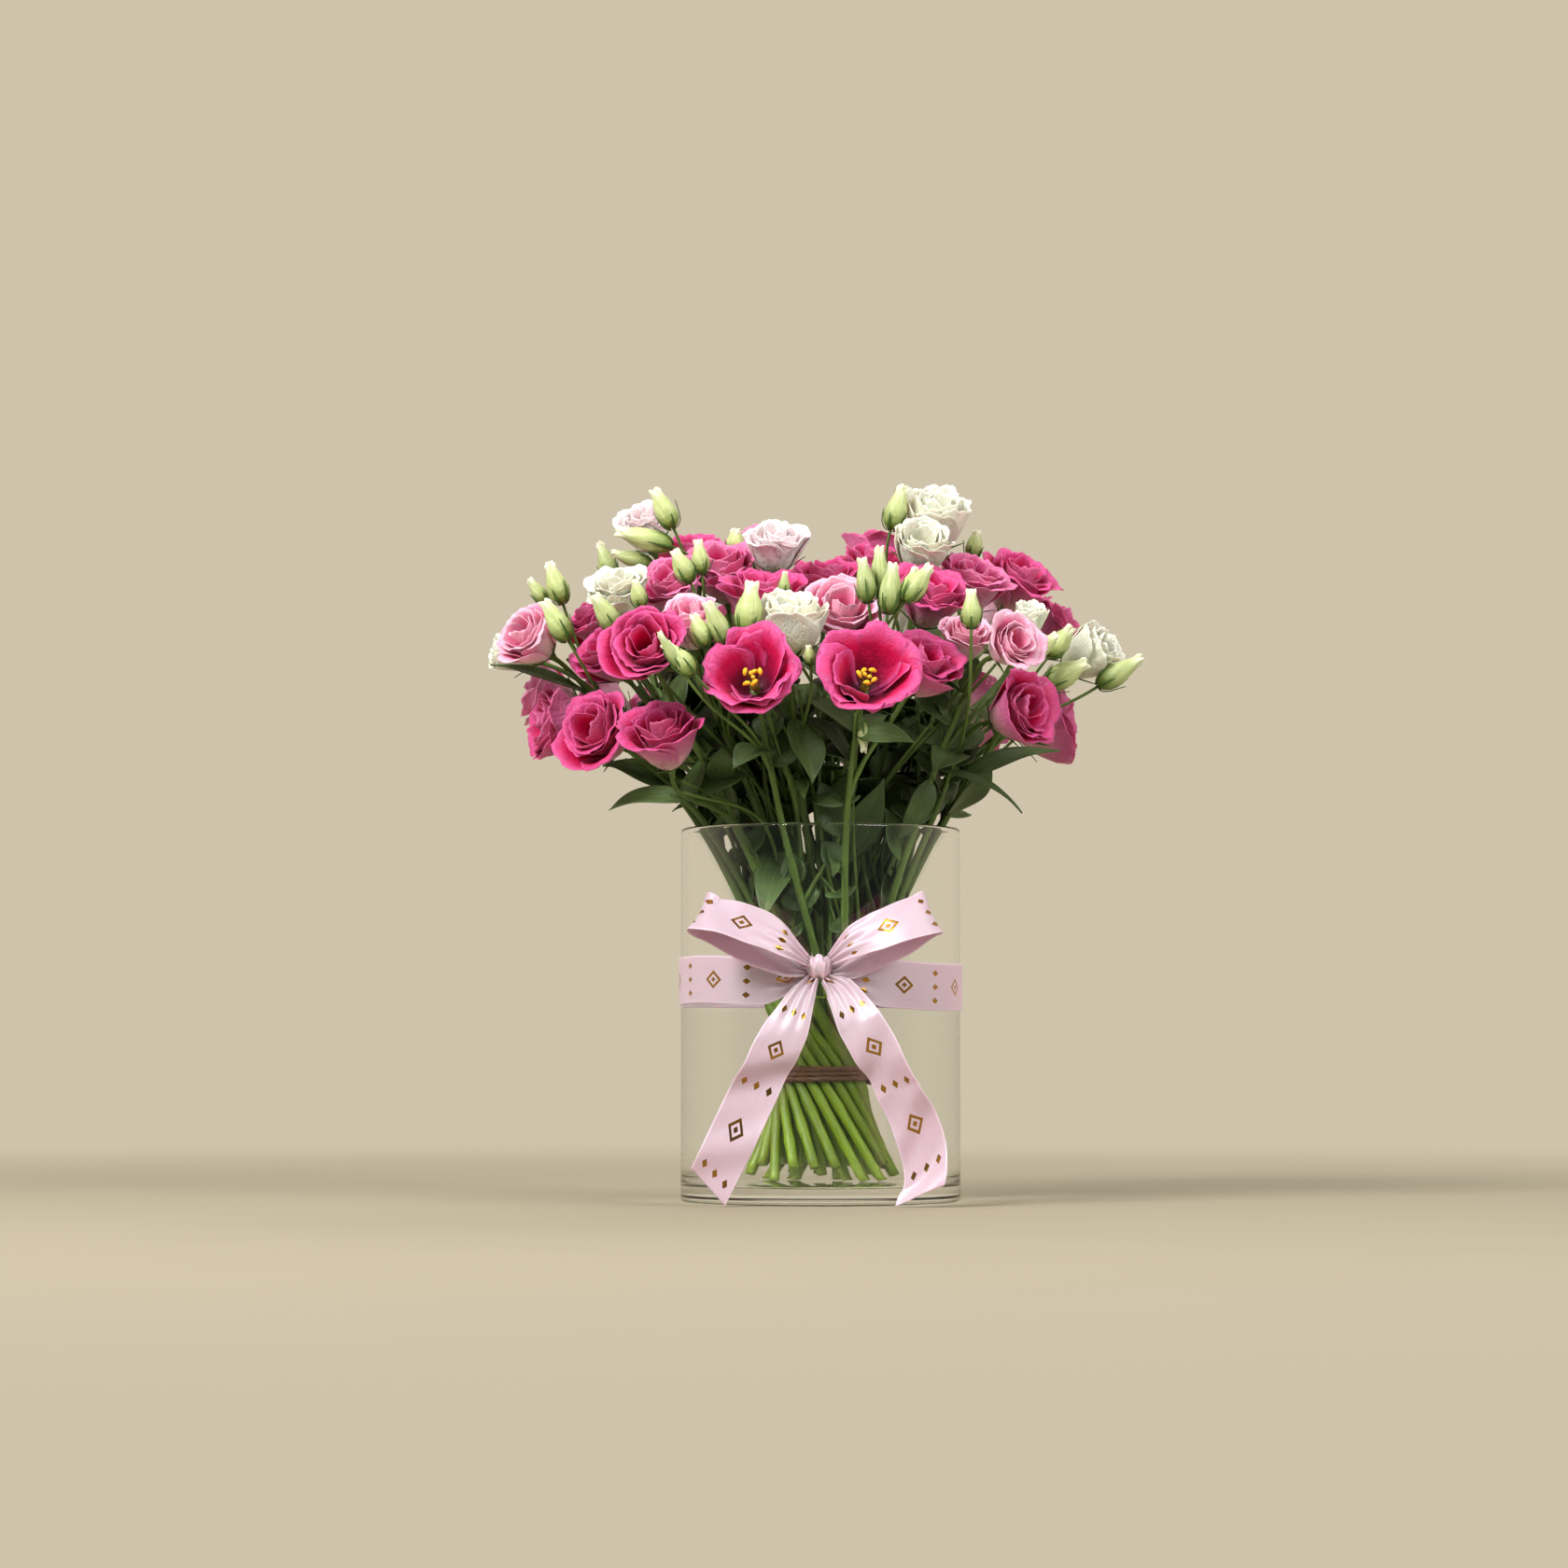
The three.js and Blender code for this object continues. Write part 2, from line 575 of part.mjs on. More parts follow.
// Every bud in front: the stem it branches from, its base, its tip and its radius.
const BUDS = [
  ['pale_top_left', [-79, -18, 361], [-89, -21, 381], 5.2],
  ['pale_top_left', [-80, -16, 351], [-109, -19, 359], 5.4],
  ['pale_top_left', [-91, -8, 342], [-112, -11, 348], 4],
  ['light_left', [-138, -22, 320], [-145, -26, 341], 5],
  ['light_left', [-147, -18, 320], [-156, -20, 333], 3.6],
  ['light_left', [-133, -70, 296], [-145, -74, 316], 5.2],
  ['left_mid', [-107, -88, 300], [-118, -92, 317], 5.2],
  ['left_mid', [-94, -88, 312], [-97, -93, 325], 3.6],
  ['pink_top_left', [-69, -66, 327], [-77, -69, 343], 4.8],
  ['pink_top_left', [-63, -50, 333], [-65, -53, 350], 4.2],
  ['open_left', [-66, -136, 273], [-80, -141, 288], 4.8],
  ['open_left', [-72, -139, 275], [-83, -144, 293], 2.8],
  ['light_mid_left', [-49, -112, 290], [-59, -115, 311], 5],
  ['light_mid_left', [-60, -112, 289], [-66, -114, 305], 4.6],
  ['white_mid', [-39, -106, 296], [-36, -109, 322], 6.2],
  ['light_mid', [-20, -84, 318], [-19, -87, 330], 2.6],
  ['right_mid', [24, -100, 313], [21, -103, 335], 4.6],
  ['right_mid', [30, -92, 316], [30, -95, 342], 4.4],
  ['light_mid', [34, -104, 307], [37, -107, 332], 5],
  ['light_mid', [43, -106, 313], [56, -109, 331], 5],
  ['right_mid', [42, -86, 315], [49, -89, 332], 3.4],
  ['low_right', [77, -108, 299], [77, -111, 318], 4.6],
  ['right_top', [83, 28, 350], [86, 25, 364], 4.2],
  ['white_right', [121, -40, 290], [133, -43, 305], 5],
  ['white_right', [112, -54, 289], [124, -57, 300], 4],
  ['white_right', [120, -34, 275], [141, -37, 287], 6],
  ['white_right', [149, -14, 276], [172, -17, 291], 5.2],
  ['white_top', [38, 0, 362], [45, -3, 385], 5.4],
  ['open_right', [21, -84, 252], [22, -92, 236], 3],
  ['top_rose', [-46, 22, 352], [-46, 18, 364], 4.6],
  ['white_mid', [-6, -112, 280], [-7, -115, 289], 2.6],
];
const BACK_BUDS = 8;

// A bud and its stalk are one tapering tube: thin stalk, egg-shaped bud, narrow tip.
function budGeometry([host, from, to, radius]) {
  const base = point(...from);
  const tip = point(...to);
  const direction = tip.clone().sub(base).normalize();
  const stalk = branchCurve(host, 0.78, base, direction);
  const points = [0, 0.33, 0.66].map((t) => stalk.getPointAt(t));
  const along = (share) => base.clone().lerp(tip, share);
  points.push(base, along(0.5), tip);
  const curve = new THREE.CatmullRomCurve3(points, false, 'centripetal');
  const length = curve.getLength();
  const bud = base.distanceTo(tip);
  const u = (share) => 1 - ((1 - share) * bud) / length;
  return tube(curve, [
    [0, BUD_STALK],
    [u(0) * 0.5, BUD_STALK],
    [u(0), BUD_STALK * 1.5],
    [u(0.3), radius * 0.95],
    [u(0.62), radius * 0.8],
    [1, radius * 0.22],
  ], BUD_SIDES);
}

// Every large leaf in front: the stem it grows from, the height where it leaves it, its tip, its
// half width, and how far its middle is lifted from the straight line.
const LEAVES = [
  ['lower_left', 214, [-116, -30, 232], 9, [-6, -6, 10]],
  ['low_left', 216, [-112, -44, 208], 7, [-6, -6, 8]],
  ['open_left', 236, [-46, -99, 226], 8, [-2, -8, 6]],
  ['white_mid', 250, [-5, -100, 219], 10, [4, -9, 0]],
  ['white_mid', 222, [-9, -84, 212], 4, [0, -5, 2]],
  ['open_right', 246, [48, -98, 240], 7, [0, -6, 4]],
  ['low_right', 240, [58, -82, 226], 10, [0, -8, 4]],
  ['low_right', 219, [127, -36, 240], 9, [4, -4, 8]],
  ['light_right', 228, [106, -50, 206], 5, [8, -4, 6]],
  ['light_mid', 176, [33, -56, 224], 12, [4, -8, 0]],
  ['wide_mid', 194, [-30, -54, 150], 11, [-3, -10, 0]],
  ['light_mid', 196, [6, -62, 172], 6, [3, -6, 0]],
  ['light_right_back', 172, [40, -46, 192], 7, [3, -6, 0]],
  ['white_right', 206, [90, -30, 238], 9, [6, -8, -2]],
  ['left_swirl', 218, [-52, -66, 240], 8, [2, -8, 0]],
  ['light_left', 272, [-176, -30, 286], 6, [-4, -4, 6]],
];
const BACK_LEAVES = 10;

// A leaf is a thin arched blade with a raised midrib, widest before its middle.
function leafGeometry([host, height, tipPlace, halfWidth, lift]) {
  let share = 0;
  while (placeOnStem(host, share).z < height && share < 0.9) share += 0.01;
  const base = placeOnStem(host, share);
  const tip = point(...tipPlace);
  const middle = base.clone().lerp(tip, 0.5).add(point(...lift));
  const rib = new THREE.QuadraticBezierCurve3(base, middle, tip);
  const outward = point(...lift).normalize();
  const rings = [0, 0.2, 0.48, 0.78].map((t) => {
    const centre = rib.getPoint(t);
    const along = rib.getTangent(t);
    const side = along.clone().cross(outward).normalize();
    const up = side.clone().cross(along);
    const wide = Math.max(0.9, halfWidth * Math.sin(Math.PI * Math.pow(t, 0.75)));
    const edge = (s) => centre.clone().addScaledVector(side, s * wide).addScaledVector(up, wide * 0.25);
    const face = (s) => centre.clone().addScaledVector(up, s * LEAF_THICKNESS * 0.5);
    return [edge(1), face(-1), edge(-1), face(1)];
  });
  return skin(rings, { blade: true, endTip: tip });
}

// Behind, buds and leaves follow the back blooms round: buds stand between them and leaves hang
// below them, both pointing away from the axis.
function backBuds() {
  const hosts = blooms.filter(({ name }) => /^back_[12]/.test(name));
  return Array.from({ length: BACK_BUDS }, (_, k) => {
    const host = hosts[(k * 3 + 1) % hosts.length];
    const reach = reachOf(host.middle) + 8 + jitter(3);
    const angle = azimuthOf(host.middle) + 31 / reach;
    const z = host.middle.z + 19 + jitter(4);
    const base = [reach * Math.cos(angle), reach * Math.sin(angle), z];
    const tip = [base[0] * 1.07, base[1] * 1.07, z + 20 + jitter(3)];
    return [host.name, base, tip, 4.6 + jitter(0.8)];
  });
}

function backLeaves() {
  const hosts = blooms.filter(({ name }) => name.startsWith('back_'));
  return Array.from({ length: BACK_LEAVES }, (_, k) => {
    const host = hosts[(k * 5) % hosts.length];
    const angle = azimuthOf(host.middle) + 0.3 + jitter(0.2);
    const from = 208 + 12 * (k % 3);
    const reach = 84 + 8 * (k % 3) + jitter(5);
    const tip = [reach * Math.cos(angle), reach * Math.sin(angle), from + 8 + jitter(14)];
    return [host.name, from, tip, 8 + jitter(2), [8 * Math.cos(angle), 8 * Math.sin(angle), 7]];
  });
}

const buds = [...BUDS, ...backBuds()];
const leaves = [...LEAVES, ...backLeaves()];

// Where the stems cross they press together; a short plug inside the tie stands for that.
function crossing() {
  return new THREE.CylinderGeometry(outerRing + 0.8, outerRing + 0.8, 6, 18)
    .rotateX(Math.PI / 2)
    .translate(0, 0, TIE_HEIGHT);
}

function greeneryGeometry() {
  return fused([
    crossing(),
    ...blooms.map(stemGeometry),
    ...buds.map(budGeometry),
    ...leaves.map(leafGeometry),
  ]);
}

// ---------------------------------------------------------------- the bouquet

const bouquet = new THREE.Group();

function add(name, geometry, look) {
  const mesh = new THREE.Mesh(geometry, MATERIALS[look]);
  mesh.name = name;
  bouquet.add(mesh);
}

add('vase', vaseGeometry(), 'glass');
add('water', waterGeometry(), 'water');
add('twine', twineGeometry(), 'twine');
add('ribbon_band', bandGeometry(), 'satin');
add('bow_knot', knotGeometry(), 'satin');
for (const name of Object.keys(BOW)) {
  add(name, bowGeometry(name), 'satin');
}
add('stems', greeneryGeometry(), 'greenery');
for (const bloom of blooms) {
  add(`bloom_${bloom.name}`, bloomGeometry(bloom), bloom.tint);
  if (bloom.profile === 'open') {
    add(`stamens_${bloom.name}`, stamensGeometry(bloom), 'stamens');
  }
}

export default bouquet;
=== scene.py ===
# %% [markdown]
# # A lisianthus bouquet in a glass vase
#
# A hand-tied bouquet of lisianthus in hot pink, light pink and white stands in a clear glass cylinder
# with water. Brown twine ties the stems and a satin ribbon with a bow goes round the glass.
#
# The solid model is loaded first and stays as it is. Each piece below stands in for one of its plain
# solids, at the same place, and is worked out as a surface with numpy.

# %% The frame
import json
import math

import bpy
import numpy as np
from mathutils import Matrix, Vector


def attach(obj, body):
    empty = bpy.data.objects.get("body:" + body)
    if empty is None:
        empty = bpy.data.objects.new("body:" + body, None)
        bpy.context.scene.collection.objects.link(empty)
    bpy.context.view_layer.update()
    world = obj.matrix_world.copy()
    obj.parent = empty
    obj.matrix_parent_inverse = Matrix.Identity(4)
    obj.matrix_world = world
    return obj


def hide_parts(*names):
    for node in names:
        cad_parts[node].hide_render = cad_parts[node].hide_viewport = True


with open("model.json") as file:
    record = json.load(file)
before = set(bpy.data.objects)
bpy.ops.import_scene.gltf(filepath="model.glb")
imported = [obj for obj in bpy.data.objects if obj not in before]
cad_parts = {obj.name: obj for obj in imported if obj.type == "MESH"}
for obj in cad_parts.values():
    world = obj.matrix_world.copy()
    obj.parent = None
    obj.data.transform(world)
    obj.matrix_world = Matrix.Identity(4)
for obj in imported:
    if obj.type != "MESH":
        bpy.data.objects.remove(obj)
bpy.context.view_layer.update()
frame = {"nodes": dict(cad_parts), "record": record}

MM = 0.001
SLOT_OF = {row["node"]: row["material_slot"] for row in frame["record"]["subparts"]}

# %% [markdown]
# ## Small helpers
#
# Most of the bouquet is thin blades (petals, leaves, sepals, ribbon) and tubes (stems, buds, twine). A
# blade could be a plane with a Solidify modifier, but then both faces share one colour and one normal.
# Here each blade is a closed body with a face sheet and a back sheet, so that a mark on the points tells
# the material which side it is on.

# %% Vectors, blends and rotations
def unit(vectors):
    """Each vector divided by its own length."""
    return vectors / np.linalg.norm(vectors, axis=-1, keepdims=True)


def smooth(x, low=0.0, high=1.0):
    """A soft step: 0 below low, 1 above high, and 3 t^2 - 2 t^3 between them."""
    t = np.clip((x - low) / (high - low), 0, 1)
    return t * t * (3 - 2 * t)


def mix(a, b, share):
    """The value that lies at share of the way from a to b."""
    return a + (b - a) * share


def axes_facing(direction, spin=0.0):
    """Three unit axes as rows: two across the direction, turned by spin, and the direction itself."""
    helper = np.array([0.0, 0.0, 1.0]) if abs(direction[2]) < 0.9 else np.array([0.0, 1.0, 0.0])
    side = unit(np.cross(helper, direction))
    other = np.cross(direction, side)
    first = side * math.cos(spin) + other * math.sin(spin)
    return np.array([first, np.cross(direction, first), direction])


# %% Faces of a grid
def grid_faces(rows, columns, closed=False):
    """Corner numbers and UVs of the quads of a grid of points, whose u runs along a row and v from row
    to row. A closed grid joins its last column to its first."""
    across = columns if closed else columns - 1
    i, j = (k.ravel() for k in np.mgrid[0:rows - 1, 0:across])
    i = np.stack([i, i, i + 1, i + 1], axis=1)
    j = np.stack([j, j + 1, j + 1, j], axis=1)
    uv = np.stack([j / across, i / (rows - 1)], axis=2)
    return i * columns + j % columns, uv


def rim_of(rows, columns):
    """Point numbers and UVs round the border of a grid, anticlockwise."""
    numbers = np.arange(rows * columns).reshape(rows, columns)
    v, u = np.mgrid[0:1:rows * 1j, 0:1:columns * 1j]
    sides = (np.s_[0, :-1], np.s_[:-1, -1], np.s_[-1, :0:-1], np.s_[:0:-1, 0])
    ring = np.concatenate([numbers[side] for side in sides])
    uv = np.concatenate([np.stack([u[side], v[side]], axis=1) for side in sides])
    return ring, uv


def normals_of(grid):
    """Unit normals of a surface grid: the cross product of its step along a row and its step to the next
    row."""
    return unit(np.cross(np.gradient(grid, axis=1), np.gradient(grid, axis=0)))


# %% A blade and a tube
def blade(grid, thickness, tone=0.5):
    """A closed thin body round a middle surface: each point is moved half the thickness along the normal
    for the back sheet and against it for the face sheet, and the two rims are joined. The mark inside is
    1 on the face sheet and 0 on the back."""
    rows, columns = grid.shape[:2]
    half = normals_of(grid) * np.broadcast_to(thickness, (rows, columns))[..., None] / 2
    count = rows * columns
    quads, uv = grid_faces(rows, columns)
    ring, ring_uv = rim_of(rows, columns)
    after, after_uv = np.roll(ring, -1), np.roll(ring_uv, -1, axis=0)
    rim = np.stack([after, ring, ring + count, after + count], axis=1)
    rim_uv = np.stack([after_uv, ring_uv, ring_uv, after_uv], axis=1)
    return {
        "points": np.concatenate([(grid + half).reshape(-1, 3), (grid - half).reshape(-1, 3)]),
        "faces": [(quads, uv), (quads[:, ::-1] + count, uv[:, ::-1]), (rim, rim_uv)],
        "inside": np.repeat([0.0, 1.0], count),
        "tone": np.full(2 * count, tone),
    }


def tube(rings, tone=0.5):
    """A closed body through a column of rings of points (row, column, xyz), which run anticlockwise seen
    from the end of the column. A fan to the middle of the ring closes each end."""
    rows, columns = rings.shape[:2]
    quads, uv = grid_faces(rows, columns, closed=True)
    points = np.concatenate([rings.reshape(-1, 3), [rings[0].mean(axis=0), rings[-1].mean(axis=0)]])
    k = np.arange(columns)
    first = np.stack([np.full(columns, rows * columns), (k + 1) % columns, k], axis=1)
    end = (rows - 1) * columns
    last = np.stack([np.full(columns, rows * columns + 1), end + k, end + (k + 1) % columns], axis=1)
    flat_uv = np.zeros((columns, 3, 2))
    return {
        "points": points,
        "faces": [(quads, uv), (first, flat_uv), (last, flat_uv + [0.0, 1.0])],
        "inside": np.zeros(len(points)),
        "tone": np.full(len(points), tone),
    }


def in_place(body, axes, base):
    """A body that was made at the origin with its axis up, turned to the rows of axes and moved to
    base."""
    return {**body, "points": body["points"] @ axes + base}


# %% One mesh from many bodies
def piece(name, bodies, material, slot, *nodes):
    """Joins bodies, whose points are in millimetres, into one mesh object that stands for CAD nodes."""
    starts = np.cumsum([0] + [len(body["points"]) for body in bodies])
    faces = [(f + start, uv) for body, start in zip(bodies, starts) for f, uv in body["faces"]]
    corners = np.concatenate([f.ravel() for f, _ in faces])
    sizes = np.concatenate([np.full(len(f), f.shape[1]) for f, _ in faces])
    points = np.concatenate([body["points"] for body in bodies]) * MM
    mesh = bpy.data.meshes.new(name)
    mesh.vertices.add(len(points))
    mesh.vertices.foreach_set("co", points.astype(np.float32).ravel())
    mesh.loops.add(len(corners))
    mesh.loops.foreach_set("vertex_index", corners.astype(np.int32))
    mesh.polygons.add(len(sizes))
    mesh.polygons.foreach_set("loop_start", (np.cumsum(sizes) - sizes).astype(np.int32))
    mesh.polygons.foreach_set("use_smooth", np.ones(len(sizes), bool))
    uvs = np.concatenate([uv.reshape(-1, 2) for _, uv in faces]).astype(np.float32)
    mesh.uv_layers.new(name="surface").data.foreach_set("uv", uvs.ravel())
    for mark in ("inside", "tone"):
        values = np.concatenate([body[mark] for body in bodies]).astype(np.float32)
        mesh.attributes.new(mark, "FLOAT", "POINT").data.foreach_set("value", values)
    mesh.update(calc_edges=True)
    mesh.validate()
    mesh.materials.append(material)
    made = bpy.data.objects.new(name, mesh)
    bpy.context.scene.collection.objects.link(made)
    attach(made, "root")
    if nodes:
        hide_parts(*nodes)
    return made


# %% Colours and shader nodes
def srgb(text, alpha=1.0):
    """A hex colour as the eye sees it, turned to the linear values that light adds up in."""
    channels = [int(text[k:k + 2], 16) / 255 for k in (1, 3, 5)]
    linear = [c / 12.92 if c <= 0.04045 else ((c + 0.055) / 1.055) ** 2.4 for c in channels]
    return (*linear, alpha)


def add(tree, kind, values=None, links=None):
    """Adds one shader node of the type "ShaderNode" + kind. values sets its properties and inputs, and
    links joins its inputs to outputs of other nodes, where a node stands for its first output."""
    made = tree.nodes.new("ShaderNode" + kind)
    for key, value in (values or {}).items():
        if isinstance(key, str) and hasattr(made, key):
            setattr(made, key, value)
        else:
            made.inputs[key].default_value = value
    for key, source in (links or {}).items():
        output = source.outputs[0] if isinstance(source, bpy.types.Node) else source
        tree.links.new(output, made.inputs[key])
    return made


def new_material(name):
    """An empty material and its node tree."""
    material = bpy.data.materials.new(name)
    material.use_nodes = True
    material.node_tree.nodes.clear()
    return material, material.node_tree


# %% Patterns that several materials share
SOFT = {"interpolation_type": "SMOOTHSTEP"}  # for a Map Range node
RGBA = {"data_type": "RGBA"}  # for a Mix node, whose colours are its inputs 6 and 7 and its output 2


def away_from(tree, value, line):
    """The distance |value - line|."""
    apart = add(tree, "Math", {"operation": "SUBTRACT", 1: line}, {0: value})
    return add(tree, "Math", {"operation": "ABSOLUTE"}, {0: apart})


def streaked(tree, uv, stretch, detail, low, high, distortion=0.0):
    """Streaks along a surface: a noise on its UV, stretched, as a height and as a shade from low to
    high."""
    spread = add(tree, "Mapping", {"Scale": stretch}, {0: uv})
    noise = add(tree, "TexNoise", {"Scale": 1.0, "Detail": detail, "Distortion": distortion},
                {"Vector": spread})
    return noise, add(tree, "MapRange", {1: 0.3, 2: 0.7, 3: low, 4: high}, {0: noise})


def shaded(tree, colour, *shades):
    """A colour times the product of its shades, which are values near 1."""
    light = shades[0]
    for shade in shades[1:]:
        light = add(tree, "Math", {"operation": "MULTIPLY"}, {0: light, 1: shade})
    return add(tree, "VectorMath", {"operation": "SCALE"}, {0: colour, "Scale": light})


# %% [markdown]
# ## Petals
#
# A lisianthus petal is thin, silky and a little see-through. Its face is darkest in the throat: the petal's
# own deeper colour there and, in the pinks, painted shade of the bloom's hollow. It is paler along its margin
# and on its back. Fine veins fan out along it and shallow crinkles cross them. The colour could be painted on
# an image, but the petal's own u (across) and v (from claw to margin) give every band exactly, at any size.
# The thin closed petals let light through by subsurface scattering.

# %% Petal material
VEINS_ACROSS = 44  # veins on a petal about 40 mm wide, so one each 0.9 mm
# The face in the throat, in the middle and at the rim, then the back, and the claw that it starts from. The
# throat colour is the petal's own deeper colour at its foot and, in the pinks, painted shade of the hollow.
PETAL_COLOURS = {
    "petals_hot_pink": ("#560424", "#D20A50", "#DE5A9A", "#D06492", "#E8B8B4"),
    "petals_rose_pink": ("#860F40", "#DA3678", "#EE86B2", "#DE84A8", "#EBC6C2"),
    "petals_light_pink": ("#D0507A", "#FA8FB3", "#FCC9D9", "#FBB6CA", "#F6E8D2"),
    "petals_pale_pink": ("#F2C8C0", "#FDE4E5", "#FFF8F7", "#FCE6E7", "#F3EED6"),
    "petals_white": ("#E4DFAE", "#ECE8D2", "#F1EEDC", "#ECE8D2", "#D9DCA6"),
}


def petal_material(slot):
    """Lisianthus petal: a waxy skin over watery cells, matt with a soft gloss, lit from behind. Its
    crinkles lie where a noise crosses its middle value, about 5 mm apart and other on each petal."""
    throat_and_shade, middle, rim, back, claw = (srgb(c) for c in PETAL_COLOURS[slot])
    material, tree = new_material(slot.replace("petals", "lisianthus_petal"))
    uv = add(tree, "UVMap", {"uv_map": "surface"})
    u, v = add(tree, "SeparateXYZ", links={0: uv}).outputs[:2]
    inside = add(tree, "Attribute", {"attribute_name": "inside"}).outputs["Fac"]
    tone = add(tree, "Attribute", {"attribute_name": "tone"}).outputs["Fac"]
    out_of_throat = add(tree, "MapRange", {**SOFT, 1: 0.1, 2: 0.8}, {0: v})
    to_margin = add(tree, "MapRange", {**SOFT, 1: 0.72, 2: 1.0}, {0: v})
    to_side = add(tree, "MapRange", {**SOFT, 1: 0.34, 2: 0.5}, {0: away_from(tree, u, 0.5)})
    edge = add(tree, "Math", {"operation": "MAXIMUM"}, {0: to_margin, 1: to_side})
    soft_edge = add(tree, "Math", {"operation": "MULTIPLY", 1: 0.75}, {0: edge})
    # The face darkens towards the throat: in the pinks this is painted shade of the bloom's hollow.
    face = add(tree, "Mix", {**RGBA, 6: throat_and_shade, 7: middle}, {0: out_of_throat}).outputs[2]
    face = add(tree, "Mix", {**RGBA, 7: rim}, {0: soft_edge, 6: face}).outputs[2]
    reverse = add(tree, "Mix", {**RGBA, 6: claw, 7: back}, {0: out_of_throat}).outputs[2]
    both = add(tree, "Mix", RGBA, {0: inside, 6: reverse, 7: face}).outputs[2]
    veins, shade = streaked(tree, uv, (VEINS_ACROSS, 2.5, 1.0), 2.0, 0.9, 1.05, 0.4)
    place = add(tree, "TexCoord").outputs["Object"]
    cloud = add(tree, "TexNoise", {"Scale": 130.0, "Detail": 3.0}, {"Vector": place})
    patch = add(tree, "MapRange", {1: 0.3, 2: 0.7, 3: 0.93, 4: 1.05}, {0: cloud})
    own = add(tree, "MapRange", {3: 0.92, 4: 1.06}, {0: tone})
    colour = shaded(tree, both, shade, patch, own)
    bump = add(tree, "Bump", {"Strength": 0.3, "Distance": 0.00015}, {"Height": veins})
    coarse = add(tree, "Mapping", {"Scale": (8.0, 5.0, 1.0)}, {0: uv})
    own_noise = add(tree, "Math", {"operation": "MULTIPLY", 1: 40.0}, {0: tone})
    crinkle = add(tree, "TexNoise",
                  {"noise_dimensions": "4D", "Scale": 1.0, "Detail": 3.0, "Distortion": 0.6},
                  {"Vector": coarse, "W": own_noise})
    flat = add(tree, "MapRange", {**SOFT, 1: 0.0, 2: 0.09}, {0: away_from(tree, crinkle, 0.5)})
    bump = add(tree, "Bump", {"Strength": 0.45, "Distance": 0.0005}, {"Height": flat, "Normal": bump})
    shader = add(tree, "BsdfPrincipled", {
        "Roughness": 0.5,
        "Specular IOR Level": 0.28,
        "Subsurface Weight": 0.3,
        "Subsurface Radius": (1.0, 0.45, 0.5),
        "Subsurface Scale": 0.0022,
        "Sheen Weight": 0.05,
        "Sheen Roughness": 0.4,
    }, {"Base Color": colour, "Normal": bump})
    add(tree, "OutputMaterial", links={0: shader})
    return material


petal_materials = {slot: petal_material(slot) for slot in PETAL_COLOURS}
print("petal materials", len(petal_materials))

# %% [markdown]
# ## Where each bloom sits
#
# The solid model has one closed body for each bloom. Its place could be copied by hand, but it is read
# from the solid instead: the ten smallest triangles are the little flat where the petals meet the calyx,
# so their middle is the base and their normal points back down the stem.

# %% Bloom places
FLAT_TRIANGLES = 10  # in the flat foot of each solid bloom


def triangles_of(node):
    """The corners of a CAD node's triangles, in millimetres."""
    mesh = frame["nodes"][node].data
    mesh.calc_loop_triangles()
    points = np.empty(len(mesh.vertices) * 3)
    mesh.vertices.foreach_get("co", points)
    index = np.empty(len(mesh.loop_triangles) * 3, np.int32)
    mesh.loop_triangles.foreach_get("vertices", index)
    return points.reshape(-1, 3)[index].reshape(-1, 3, 3) / MM


def place_of(node):
    """Base, facing, radius and height of a bloom, from its solid."""
    triangles = triangles_of(node)
    normals = np.cross(triangles[:, 1] - triangles[:, 0], triangles[:, 2] - triangles[:, 0])
    smallest = np.argsort(np.linalg.norm(normals, axis=1))[:FLAT_TRIANGLES]
    facing = -unit(normals[smallest].sum(axis=0))
    base = triangles[smallest].reshape(-1, 3).mean(axis=0)
    away = triangles.reshape(-1, 3) - base
    along = away @ facing
    radius = np.linalg.norm(away - along[:, None] * facing, axis=1).max()
    return {"base": base, "facing": facing, "radius": radius, "height": along.max()}


def kind_of(name):
    """Blooms with stamens in view are open. The white ones at the front are cups, but for the wide one on
    the left, and the rest are full."""
    if "stamens_" + name in frame["nodes"]:
        return "open"
    white = SLOT_OF["bloom_" + name] == "petals_white"
    return "cup" if white and not name.startswith("back") and name != "white_left" else "full"


bloom_names = sorted(node[len("bloom_"):] for node in frame["nodes"] if node.startswith("bloom_"))
blooms = {name: {**place_of("bloom_" + name), "kind": kind_of(name)} for name in bloom_names}
radii = [bloom["radius"] for bloom in blooms.values()]
print("blooms", len(blooms), "radius", round(min(radii), 1), "to", round(max(radii), 1), "mm")

# %% [markdown]
# ## The shape of a petal
#
# Lisianthus petals are broad, overlap like a spiral of shingles, and flare at the rim into soft waves.
# They could be sculpted one by one; here one formula bends a sheet: a cubic curve gives its side view
# from the claw to the margin, the sheet wraps round the bloom's axis, and waves that grow towards the
# margin ruffle it. Openness goes from 0 for the petals that are still rolled in the middle to 1 for the
# outermost ring, and each petal draws its own tilt, waves and ragged margin from a seeded stream.

